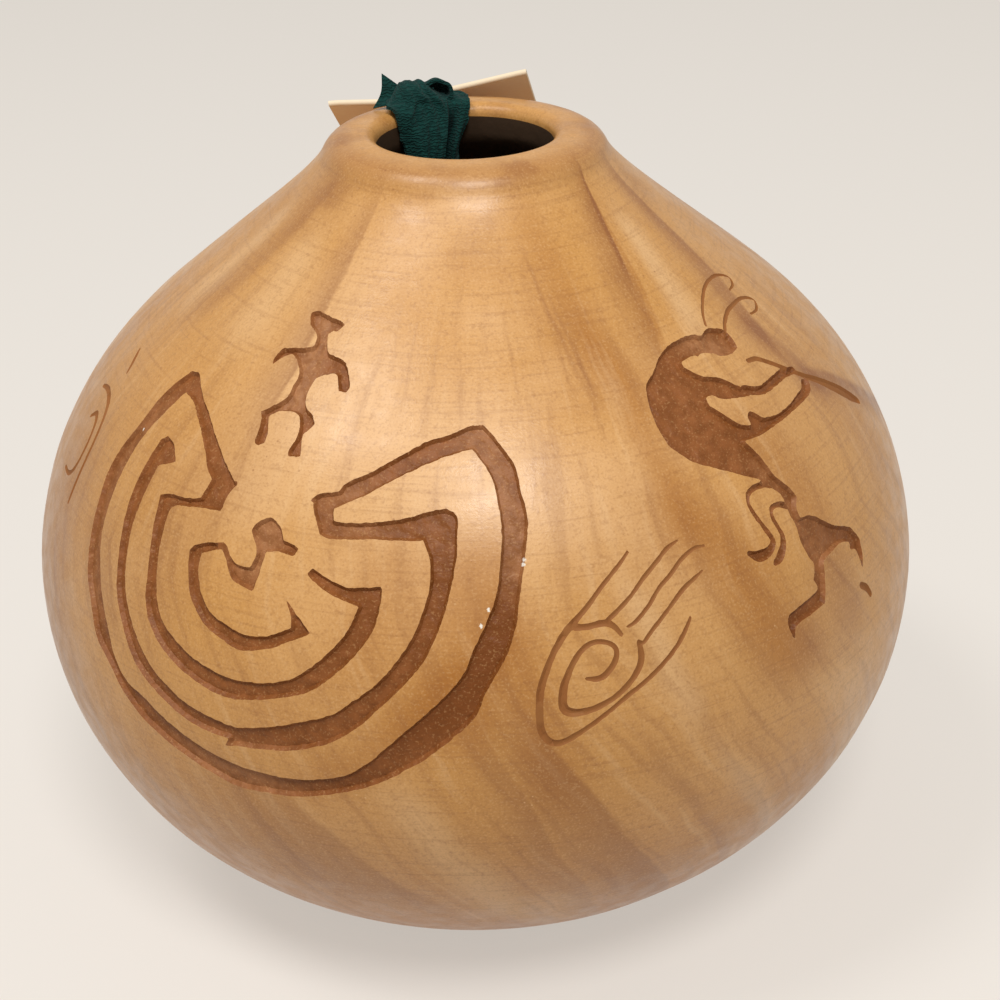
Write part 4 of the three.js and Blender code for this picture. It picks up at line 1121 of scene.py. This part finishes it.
class Nodes:
    """A node tree and short ways to add nodes to it."""

    def __init__(self, owner):
        owner.use_nodes = True
        self.tree = owner.node_tree

    def put(self, socket, value):
        if isinstance(value, bpy.types.NodeSocket):
            self.tree.links.new(value, socket)
        else:
            socket.default_value = value

    def add(self, kind, values=(), out=0, **settings):
        node = self.tree.nodes.new("ShaderNode" + kind)
        for name, value in settings.items():
            setattr(node, name, value)
        for socket, value in dict(values).items():
            self.put(node.inputs[socket], value)
        return node.outputs[out]

    def sum(self, operation, a, b=0.0, c=0.0):
        return self.add("Math", {0: a, 1: b, 2: c}, operation=operation)

    def times(self, a, b):
        return self.sum("MULTIPLY", a, b)

    def step(self, value, low, high, at_low=0.0, at_high=1.0):
        return self.add("MapRange", {0: value, 1: low, 2: high, 3: at_low, 4: at_high},
                        interpolation_type="SMOOTHSTEP")

    def band(self, value, low, full, full_end, high):
        """1 where the value is full, falling to 0 at the low and high ends."""
        return self.times(self.step(value, low, full), self.step(value, full_end, high, 1, 0))

    def blend(self, share, a, b):
        return self.add("Mix", {0: share, 6: a, 7: b}, out=2, data_type="RGBA")

    def tint(self, colour, tone, share, strength):
        """The colour with a tone over it."""
        return self.blend(self.times(share, strength), colour, tone)

    def noise(self, vector, scale, detail=2):
        return self.add("TexNoise", {"Vector": vector, "Scale": scale, "Detail": detail})

    def stretched(self, vector, *factors):
        return self.add("VectorMath", {0: vector, 1: factors}, operation="MULTIPLY")

    def seen(self):
        """1 for the rays that show the floor and the distance, 0 for the light that these throw back."""
        path = self.add("LightPath").node
        shown = self.sum("MAXIMUM", path.outputs["Is Camera Ray"], path.outputs["Is Glossy Ray"])
        return self.sum("MAXIMUM", shown, path.outputs["Is Transmission Ray"])


class Recipe(Nodes):
    """A material and its shader."""

    def __init__(self, name, roughness=0.5, specular=0.5):
        self.material = bpy.data.materials.new(name)
        super().__init__(self.material)
        self.shader = self.tree.nodes["Principled BSDF"]
        self.set("Roughness", roughness)
        self.set("Specular IOR Level", specular)

    def set(self, socket, value):
        self.put(self.shader.inputs[socket], value)

    def place(self):
        """Place on the object, in metres."""
        return self.add("TexCoord", out=3)

    def unrolled(self):
        """Place on the unrolled outside, in millimetres, and its two parts."""
        unrolled = self.add("UVMap", uv_map="unrolled")
        split = self.add("SeparateXYZ", {0: unrolled}).node
        return unrolled, split.outputs[0], split.outputs[1]

    def bump(self, height, strength, distance):
        self.set("Normal", self.add("Bump", {"Strength": strength, "Distance": distance, "Height": height}))


# Fired stains and paler streaks on the ground: a line on the unrolled outside, how far the tone reaches to
# its left and right, the heights between which it shows, how softly it ends there, and its strength
BROWN_STAINS_AND_PAINTED_SHADE = [
    ((85.5, 206), (72.5, 188), 20, 1.6, (176, 212), 12, 0.5),
    ((85.5, 206), (72.5, 188), 3, 1, (182, 212), 8, 0.5),
    ((73, 188), (62, 166), 16, 1.6, (158, 190), 10, 0.4),
    ((121, 204), (107, 160), 18, 2.6, (152, 212), 12, 0.55),
    ((107, 164), (111, 143), 10, 5, (138, 168), 8, 0.5),
    ((112, 148), (142, 127), 14, 4, (118, 152), 8, 0.7),
    ((-88, 128), (-84, 108), 9, 9, (100, 134), 12, 0.3),
    ((28, 192), (34, 165), 1.6, 1.6, (158, 198), 10, 0.3),
    ((33, 181), (36.5, 162), 1.2, 2, (156, 186), 8, 0.28),
    ((-53, 203), (-54.5, 180), 15, 2, (148, 213), 18, 0.42),
    ((-97, 203), (-105, 180), 18, 7, (160, 213), 14, 0.36),
    ((-100, 210), (-100, 190), 46, 44, (190, 213), 12, 0.22),
    # Painted shade: a broad darkening of the lower left side, where it turns from the lamps
    ((-120, 146), (-108, 70), 44, 34, (56, 156), 34, 0.5),
    ((-35, 85), (-15, 62), 46, 2.4, (46, 98), 20, 0.4),
    ((9, 88), (27, 48), 9, 1.4, (20, 112), 22, 0.3),
    ((19, 92), (44.2, 47.4), 18, 1.4, (20, 116), 24, 0.52),
    ((34, 92), (60, 48), 1.6, 4, (20, 110), 18, 0.28),
    ((46, 94), (71, 52), 5, 1.4, (20, 112), 18, 0.26),
    ((82, 118), (85, 102), 13, 9, (94, 126), 12, 0.42),
    ((68, 112), (71, 100), 8, 8, (96, 116), 9, 0.35),
    ((-176, 170), (-160, 60), 26, 2, (20, 205), 26, 0.45),
    ((-236, 170), (-214, 60), 18, 3, (20, 205), 26, 0.4),
    ((176, 190), (196, 60), 22, 2, (20, 205), 26, 0.45),
    ((228, 190), (252, 60), 3, 24, (20, 205), 26, 0.4),
]
AMBER_STAINS = [
    ((6, 140), (2, 108), 28, 7, (92, 146), 14, 0.62),
    ((-16, 138), (-24, 108), 12, 10, (100, 144), 14, 0.35),
    ((8, 126), (16, 88), 9, 10, (80, 132), 14, 0.55),
    ((40, 180), (47, 140), 7, 11, (128, 186), 16, 0.45),
    ((47, 140), (66, 102), 14, 15, (90, 148), 16, 0.72),
    ((36, 206), (44, 160), 20, 14, (150, 212), 18, 0.36),
    ((-40, 110), (-30, 96), 20, 12, (90, 116), 10, 0.3),
    ((2, 118), (-30, 88), 12, 12, (82, 122), 10, 0.45),
    ((72, 150), (84, 118), 10, 14, (112, 156), 14, 0.45),
    ((84, 205), (66, 170), 8, 1.6, (162, 212), 10, 0.5),
    ((120, 202), (106, 158), 10, 2.6, (150, 210), 12, 0.4),
    ((112, 150), (118, 118), 16, 16, (110, 156), 16, 0.35),
    ((-150, 190), (-140, 90), 10, 12, (60, 200), 30, 0.3),
    ((205, 190), (215, 90), 16, 12, (60, 200), 30, 0.35),
]
PALE_STREAKS = [
    ((-121, 200), (-121, 165), 12, 12, (160, 204), 14, 0.5),
    ((-82, 198), (-80, 165), 20, 18, (160, 200), 14, 0.5),
    ((92, 200), (79, 168), 8, 14, (160, 202), 12, 0.6),
    ((-14, 92), (8, 50), 10, 9, (40, 98), 16, 0.5),
    ((30, 130), (40, 100), 5, 5, (92, 134), 12, 0.5),
    ((78, 100), (98, 62), 16, 24, (50, 108), 18, 0.5),
    ((48, 88), (74, 46), 3, 7, (36, 100), 16, 0.45),
    ((14, 58), (22, 40), 12, 12, (34, 64), 10, 0.4),
    ((-200, 180), (-188, 80), 14, 10, (60, 196), 26, 0.4),
    ((262, 180), (276, 80), 14, 10, (60, 196), 26, 0.4),
]
# Parts of the carving painted paler: partly dust, partly painted sheen where the carved floors face the
# highlight
CARVED_DUST_AND_PAINTED_SHEEN = [
    ((-52, 182), (-50, 158), 9, 9, (154, 188), 8, 0.7),
    ((-44, 140), (-46, 126), 9, 8, (124, 144), 5, 0.6),
    ((74, 172), (84, 160), 14, 12, (154, 176), 6, 0.6),
    ((2, 162), (11, 130), 12, 8, (124, 168), 10, 0.45),
    ((-28, 146), (-24, 138), 16, 14, (132, 152), 6, 0.35),
    ((-94, 150), (-88, 110), 8, 8, (100, 160), 12, 0.35),
    ((-40, 96), (-46, 84), 30, 18, (82, 98), 5, 0.4),
    ((74, 140), (82, 112), 10, 12, (106, 146), 8, 0.3),
]
STAIN_MOST = 0.9
STAIN_WANDER = 9  # how far the stains' edges wander, in millimetres
# Fine streaks: where they start to lean, how much, how many to a radian, how long they are, and the heights
# between which they fade out upwards
FLOW_BREAK = 122
FLOW_LEAN = 0.6
FLOW_COUNT = 26
FLOW_LENGTH = 34
FLOW_FADE = (200, 165)
# Heights and distances from the front between which a tone of the ground sets in. The upper front, above
# the gold's heights and within its distances, keeps the pale colour as a painted highlight where the sheen
# lies. The redder tone towards the foot is partly the clay's own and partly painted shade.
GOLD_BELOW = (142, 112)
GOLD_ASIDE = (42, 88)
RED_BELOW = (105, 20)
MOTTLE_ABOVE = (184, 204)
# Band of painted shade under the lip's outer edge
LIP_PAINTED_SHADE = (204, 210, 211, 215)
# Scales of the clay's noises, in bumps to a metre
WANDER_SCALE = 34
CLOUD_SCALE = 22
FLECK_SCALE = 26
FLECK_STRETCH = (1, 1, 0.3)
MOTTLE_SCALE = 90
RUB_STRETCH = (60, 60, 1900)
GRAIN_SCALE = 900
FINE_SCALE = 2300
PIT_SCALE = 420
PATCH_SCALE = 60
GLOSS_SCALE = 240
# Gloss and relief: bump is its strength and its height in metres
CLAY_SPECULAR = 0.25
CLAY_COAT = 0.35
CLAY_COAT_ROUGHNESS = 0.36
CLAY_ROUGHNESS = (0.28, 0.44)
CLAY_BUMP = (0.35, 0.0002)
CARVED_BUMP = (0.6, 0.0003)
INSIDE_BUMP = (0.4, 0.0005)
CLOTH_BUMP = (0.7, 0.0003)
CLOTH_SHEEN = 0.05
# Strength of the painted shade in the cloth's valley
VALLEY_SHADE = 0.85
INSIDE_PAINTED_LIGHT_BELOW = (0.152, 0.13)  # heights in metres between which the inside grows pale: painted light where little light reaches
# Scales of the other materials' noises
CARVED_PATCH_SCALE = 420
CARVED_SPECK_SCALE = 2200
CARVED_GRAIN_SCALE = 1200
SCRATCHED_SCALE = 300
INSIDE_CLOUD_SCALE = 60
INSIDE_GRAIN_SCALE = 400
CLOTH_SCALE = 700
CLOTH_CREPE = {"Scale": 480, "Distortion": 9, "Detail": 3, "Detail Scale": 2}
CARD_SCALE = 700
CARD_STRETCH = (1, 2, 1)
# Small pale chips at the edges of the carving
CHIPS = [(10.7, 132.9), (10.9, 133.7), (3.3, 125.4), (1.8, 122.6), (-93.3, 144)]
CHIP_SIZE = (0.2, 0.45)
CHIP_SCALE = 2.5
CHIP_UNEVEN = 0.8
CLAY_PALE = paint(228, 178, 120)
CLAY_LIGHT = paint(238, 194, 140)
CLAY_GOLD = paint(207, 150, 80)
CLAY_AMBER = paint(172, 109, 40)
CLAY_BROWN = paint(147, 91, 46)
CLAY_RED = paint(176, 111, 66)
CLAY_CHIP = paint(250, 240, 224)
CLAY_CARVED = paint(149, 90, 45)
CLAY_CARVED_AMBER = paint(114, 60, 14)
CLAY_CARVED_DUST_AND_SHEEN = paint(182, 128, 84)
CLAY_CARVED_DARK = paint(127, 73, 30)
CLAY_SCRATCHED = paint(154, 102, 52)
# The inside's dark colours are painted shade for the mouth's hollow; the pale one is painted light for the
# lower inside
CLAY_INSIDE = paint(74, 55, 38)
CLAY_INSIDE_PAINTED_LIGHT = paint(234, 202, 162)
CLAY_INSIDE_DARK = paint(52, 37, 24)
CLOTH_GREEN = paint(19, 66, 60)
CLOTH_DARK = paint(10, 44, 41)
CLOTH_PAINTED_SHADE = paint(4, 17, 17)
CARD_CREAM = paint(250, 233, 202)


def streaks(r, across, up, lines):
    """Summed strength of streaks along lines on the unrolled outside."""
    total = 0.0
    for (across_1, up_1), (across_2, up_2), left, right, (low, high), soft, strength in lines:
        slope = (across_2 - across_1) / (up_2 - up_1)
        line = r.sum("MULTIPLY_ADD", up, slope, across_1 - up_1 * slope)
        body = r.band(r.sum("SUBTRACT", across, line), -left, 0, 0, right)
        ends = r.band(up, low, low + soft, high - soft, high)
        total = r.sum("MULTIPLY_ADD", r.times(body, ends), strength, total)
    return total


def chipped(r, unrolled, colour):
    """The colour with the pale chips on it."""
    uneven = r.sum("MULTIPLY_ADD", r.noise(unrolled, CHIP_SCALE), CHIP_UNEVEN, -CHIP_UNEVEN / 2)
    for across, up in CHIPS:
        away = r.add("VectorMath", {0: unrolled, 1: (across, up, 0)}, out=1, operation="DISTANCE")
        away = r.sum("ADD", away, uneven)
        colour = r.blend(r.step(away, *CHIP_SIZE, 1, 0), colour, CLAY_CHIP)
    return colour


def flow(r, across, up):
    """Fine streaks that run down from the neck and lean to the right below the belly."""
    lean = r.times(r.sum("MINIMUM", r.sum("SUBTRACT", up, FLOW_BREAK), 0), FLOW_LEAN)
    turn = r.sum("DIVIDE", r.sum("ADD", across, lean), BELLY_RADIUS)
    round_x = r.times(r.sum("COSINE", turn), FLOW_COUNT)
    round_y = r.times(r.sum("SINE", turn), FLOW_COUNT)
    way = r.add("CombineXYZ", {0: round_x, 1: round_y, 2: r.sum("DIVIDE", up, FLOW_LENGTH)})
    return r.noise(way, 1, 4)


def clay_material():
    r = Recipe("clay", specular=CLAY_SPECULAR)
    unrolled, across, up = r.unrolled()
    place = r.place()
    wander = r.sum("SUBTRACT", r.noise(place, WANDER_SCALE, 3), 0.5)
    across = r.sum("MULTIPLY_ADD", wander, STAIN_WANDER, across)
    flows = r.step(up, *FLOW_FADE)
    streaky = flow(r, across, up)
    rubbed = r.noise(r.stretched(place, *RUB_STRETCH), 1)
    grain = r.noise(place, GRAIN_SCALE)
    fine = r.noise(place, FINE_SCALE)
    pits = r.add("TexVoronoi", {"Vector": place, "Scale": PIT_SCALE})
    patchy = r.noise(place, PATCH_SCALE)

    colour = r.blend(r.step(r.noise(place, CLOUD_SCALE, 4), 0.35, 0.65), CLAY_PALE, CLAY_GOLD)
    # Painted highlight: the upper front stays pale where the sheen falls and turns gold elsewhere; the red
    # towards the foot is partly painted shade
    gold_and_painted_sheen = r.sum("MAXIMUM", r.step(up, *GOLD_BELOW), r.step(r.sum("ABSOLUTE", across), *GOLD_ASIDE))
    colour = r.tint(colour, CLAY_GOLD, gold_and_painted_sheen, 0.7)
    colour = r.tint(colour, CLAY_RED, r.step(up, *RED_BELOW), 0.6)
    colour = r.blend(streaks(r, across, up, PALE_STREAKS), colour, CLAY_LIGHT)
    amber = r.sum("MINIMUM", streaks(r, across, up, AMBER_STAINS), STAIN_MOST)
    colour = r.blend(amber, colour, CLAY_AMBER)
    colour = r.tint(colour, CLAY_LIGHT, r.times(r.step(streaky, 0.55, 0.75), flows), 0.3)

    # What adds to the brown stains and the painted shade, and how strongly; the band under the lip is
    # painted shade
    fleck = r.step(r.noise(r.stretched(place, *FLECK_STRETCH), FLECK_SCALE, 3), 0.5, 0.75)
    mottled = r.times(r.step(r.noise(place, MOTTLE_SCALE, 4), 0.5, 0.68), r.step(up, *MOTTLE_ABOVE))
    brown_and_painted_shade = streaks(r, across, up, BROWN_STAINS_AND_PAINTED_SHADE)
    for share, strength in [
        (fleck, 0.2),
        (r.times(r.step(streaky, 0.5, 0.3), flows), 0.26),
        (mottled, 0.3),
        # painted shade under the lip's edge
        (r.band(up, *LIP_PAINTED_SHADE), 0.35),
    ]:
        brown_and_painted_shade = r.sum("MULTIPLY_ADD", share, strength, brown_and_painted_shade)
    colour = r.blend(r.sum("MINIMUM", brown_and_painted_shade, STAIN_MOST), colour, CLAY_BROWN)

    # Fine marks over the stains: tone, where it shows, and how strongly
    for tone, share, strength in [
        (CLAY_BROWN, r.step(rubbed, 0.5, 0.72), 0.2),
        (CLAY_BROWN, r.step(grain, 0.54, 0.7), 0.2),
        (CLAY_BROWN, r.step(fine, 0.52, 0.7), 0.22),
        (CLAY_LIGHT, r.step(fine, 0.46, 0.3), 0.2),
        (CLAY_BROWN, r.times(r.step(pits, 0.05, 0.13, 1, 0), r.step(patchy, 0.56, 0.66)), 0.5),
        (CLAY_LIGHT, r.times(r.step(pits, 0.04, 0.1, 1, 0), r.step(patchy, 0.42, 0.34)), 0.5),
    ]:
        colour = r.tint(colour, tone, share, strength)
    r.set("Base Color", chipped(r, unrolled, colour))
    r.set("Coat Weight", CLAY_COAT)
    r.set("Coat Roughness", CLAY_COAT_ROUGHNESS)
    r.set("Roughness", r.step(r.noise(place, GLOSS_SCALE, 3), 0.3, 0.7, *CLAY_ROUGHNESS))
    height = r.sum("MULTIPLY_ADD", rubbed, 0.4, r.times(grain, 0.5))
    r.bump(r.sum("MULTIPLY_ADD", fine, 0.5, height), *CLAY_BUMP)
    return r.material


def carved_material():
    r = Recipe("clay_carved", 0.5, CLAY_SPECULAR)
    unrolled, across, up = r.unrolled()
    place = r.place()
    patches = r.step(r.noise(place, CARVED_PATCH_SCALE, 4), 0.3, 0.7)
    colour = r.blend(patches, CLAY_CARVED, CLAY_CARVED_DARK)
    amber = r.sum("MINIMUM", streaks(r, across, up, AMBER_STAINS), 0.8)
    colour = r.blend(amber, colour, CLAY_CARVED_AMBER)
    # Painted sheen, with some dust: paler carved floors where the highlight falls
    dust_and_painted_sheen = streaks(r, across, up, CARVED_DUST_AND_PAINTED_SHEEN)
    colour = r.tint(colour, CLAY_CARVED_DUST_AND_SHEEN, dust_and_painted_sheen, r.step(patches, 1, 0.2, 0.5, 1))
    colour = r.tint(colour, CLAY_PALE, r.step(r.noise(place, CARVED_SPECK_SCALE), 0.56, 0.7), 0.2)
    r.set("Base Color", chipped(r, unrolled, colour))
    r.bump(r.noise(place, CARVED_GRAIN_SCALE), *CARVED_BUMP)
    return r.material


def scratched_material():
    r = Recipe("clay_scratched", 0.65, CLAY_SPECULAR)
    r.set("Base Color", r.blend(r.noise(r.place(), SCRATCHED_SCALE), CLAY_SCRATCHED, CLAY_CARVED))
    return r.material


def inside_material():
    r = Recipe("clay_inside", 0.85, 0.2)
    place = r.place()
    height = r.add("SeparateXYZ", {0: place}).node.outputs[2]
    # Painted shade: the inside wall is coloured dark like the shade in the mouth's hollow; lower down it
    # turns pale, painted light where the lamps don't reach
    colour = r.blend(r.noise(place, INSIDE_CLOUD_SCALE, 3), CLAY_INSIDE, CLAY_INSIDE_DARK)
    r.set("Base Color", r.blend(r.step(height, *INSIDE_PAINTED_LIGHT_BELOW), colour, CLAY_INSIDE_PAINTED_LIGHT))
    r.bump(r.noise(place, INSIDE_GRAIN_SCALE, 3), *INSIDE_BUMP)
    return r.material


def cloth_material():
    r = Recipe("cloth", 0.9, 0.15)
    place = r.place()
    crepe = r.add("TexWave", {"Vector": place, **CLOTH_CREPE}, out=1, bands_direction="Z")
    tone = r.times(r.step(r.noise(place, CLOTH_SCALE, 3), 0.15, 0.95), 0.7)
    tone = r.sum("MULTIPLY_ADD", r.step(crepe, 0.3, 0.9), 0.5, tone)
    colour = r.blend(tone, CLOTH_DARK, CLOTH_GREEN)
    # Painted shade: the valley attribute darkens the cloth's colour in its fold
    valley = r.add("Attribute", out=2, attribute_name="valley")
    r.set("Base Color", r.tint(colour, CLOTH_PAINTED_SHADE, valley, VALLEY_SHADE))
    r.set("Sheen Weight", CLOTH_SHEEN)
    r.bump(crepe, *CLOTH_BUMP)
    return r.material


def card_material():
    r = Recipe("card", 0.75)
    fibres = r.noise(r.stretched(r.place(), *CARD_STRETCH), CARD_SCALE, 3)
    r.set("Base Color", r.tint(CARD_CREAM, CLAY_PALE, fibres, 0.2))
    return r.material


vase = build_vase()
for material in (clay_material(), carved_material(), scratched_material(), inside_material()):
    vase.data.materials.append(material)
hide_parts("vase_body")
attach(vase, "vase")

cloth = cloth_material()
card = card_material()
drape_sheet, drape_painted_shade = drape_shape()
drape = add_piece("tie_drape_cloth", drape_sheet, cloth, "tie", "cloth", "tie_drop", "tie_knot")
# The valley's painted shade, carried as a point attribute
drape.data.attributes.new("valley", "FLOAT", "POINT").data.foreach_set("value", drape_painted_shade)
curl = add_piece("tie_curl_cloth", curl_shape(), cloth, "tie", "cloth")
short_end = add_piece("tie_short_end_cloth", end_shape(), cloth, "tie", "cloth", "tie_short_end")
loop = add_piece("tie_loop_cloth", loop_shape(), cloth, "tie", "cloth", "tie_loop")
front_leaf = several(leaf_shape(-1), fold_shape())
add_piece("tag_front_card", front_leaf, card, "tag_front", "card", "tag_front_leaf")
add_piece("tag_back_card", leaf_shape(1), card, "tag_back", "card", "tag_back_leaf")

# Camera at the photo's place: its aim and distance in millimetres, in the vase's frame
CAMERA_AIM = Vector((5.426, 0, 78.28))
CAMERA_DISTANCE = 400.7
CAMERA_ELEVATION = math.radians(28.084)
CAMERA_ROLL = math.radians(1.26)
CAMERA_LENS = 64.8
CAMERA_SENSOR = 36
CAMERA_CLIP = 0.01

# Floor, half its side in millimetres, and what lies behind it
FLOOR_HALF = 4000
FLOOR_PALE = paint(235, 228, 219)
FLOOR_LIT = paint(250, 244, 236)
FLOOR_GREY = (0.5, 0.475, 0.45, 1)
FLOOR_SHADOW = 0.4  # share of the floor's look that takes light and shadow
WORLD_COLOUR = (1, 0.98, 0.96, 1)
WORLD_STRENGTH = 0.33
WORLD_PALE = paint(212, 204, 197)

# Lamps: place in metres, width and power
LAMPS = {
    "key": (Vector((0.15, -0.88, 1.48)), 0.5, 14.5),
    "side": (Vector((-0.56, -0.29, 1.35)), 0.4, 5.5),
}
LAMP_AIM = Vector((0, 0, 0.1))


def add_camera():
    camera = new_object("camera", bpy.data.cameras.new("camera"))
    look = Vector((0, math.cos(CAMERA_ELEVATION), -math.sin(CAMERA_ELEVATION)))
    right = Vector((1, 0, 0))
    up = right.cross(look)
    rolled_right = right * math.cos(CAMERA_ROLL) - up * math.sin(CAMERA_ROLL)
    rolled_up = right * math.sin(CAMERA_ROLL) + up * math.cos(CAMERA_ROLL)
    turn = Matrix((rolled_right, rolled_up, -look)).transposed().to_4x4()
    camera.matrix_world = Matrix.Translation((CAMERA_AIM - look * CAMERA_DISTANCE) * MM) @ turn
    camera.data.lens = CAMERA_LENS
    camera.data.sensor_width = CAMERA_SENSOR
    camera.data.clip_start = CAMERA_CLIP
    bpy.context.scene.camera = camera


def floor_material():
    """Pale to the camera with a faint shadow, and a plain grey for the light that it throws back."""
    r = Recipe("floor")
    pale = r.add("Emission", {"Color": FLOOR_PALE, "Strength": 1})
    lit = r.add("BsdfDiffuse", {"Color": FLOOR_LIT})
    grey = r.add("BsdfDiffuse", {"Color": FLOOR_GREY})
    mixed = r.add("MixShader", {0: FLOOR_SHADOW, 1: pale, 2: lit})
    surface = r.add("MixShader", {0: r.seen(), 1: grey, 2: mixed})
    r.put(r.tree.nodes["Material Output"].inputs["Surface"], surface)
    return r.material


def add_floor():
    corners = FLOOR_HALF * np.array([(-1, -1, 0), (1, -1, 0), (1, 1, 0), (-1, 1, 0)])
    floor = new_object("floor", new_mesh("floor", corners, [(0, 1, 2, 3)]))
    floor.data.materials.append(floor_material())


def add_lamp(name, place, size, power):
    lamp = bpy.data.lights.new(name, "AREA")
    lamp.shape = "DISK"
    lamp.size = size
    lamp.energy = power
    turn = (LAMP_AIM - place).to_track_quat("-Z", "Y").to_matrix().to_4x4()
    new_object(name, lamp).matrix_world = Matrix.Translation(place) @ turn


def add_world():
    """Soft light from all round, and a pale distance behind the floor."""
    world = bpy.data.worlds.new("studio")
    r = Nodes(world)
    around = r.add("Background", {"Color": WORLD_COLOUR, "Strength": WORLD_STRENGTH})
    pale = r.add("Background", {"Color": WORLD_PALE, "Strength": 1})
    surface = r.add("MixShader", {0: r.seen(), 1: around, 2: pale})
    r.put(r.tree.nodes["World Output"].inputs["Surface"], surface)
    bpy.context.scene.world = world


add_camera()
add_floor()
add_world()
for lamp_name, lamp_values in LAMPS.items():
    add_lamp(lamp_name, *lamp_values)
bpy.context.scene.view_settings.view_transform = "Standard"
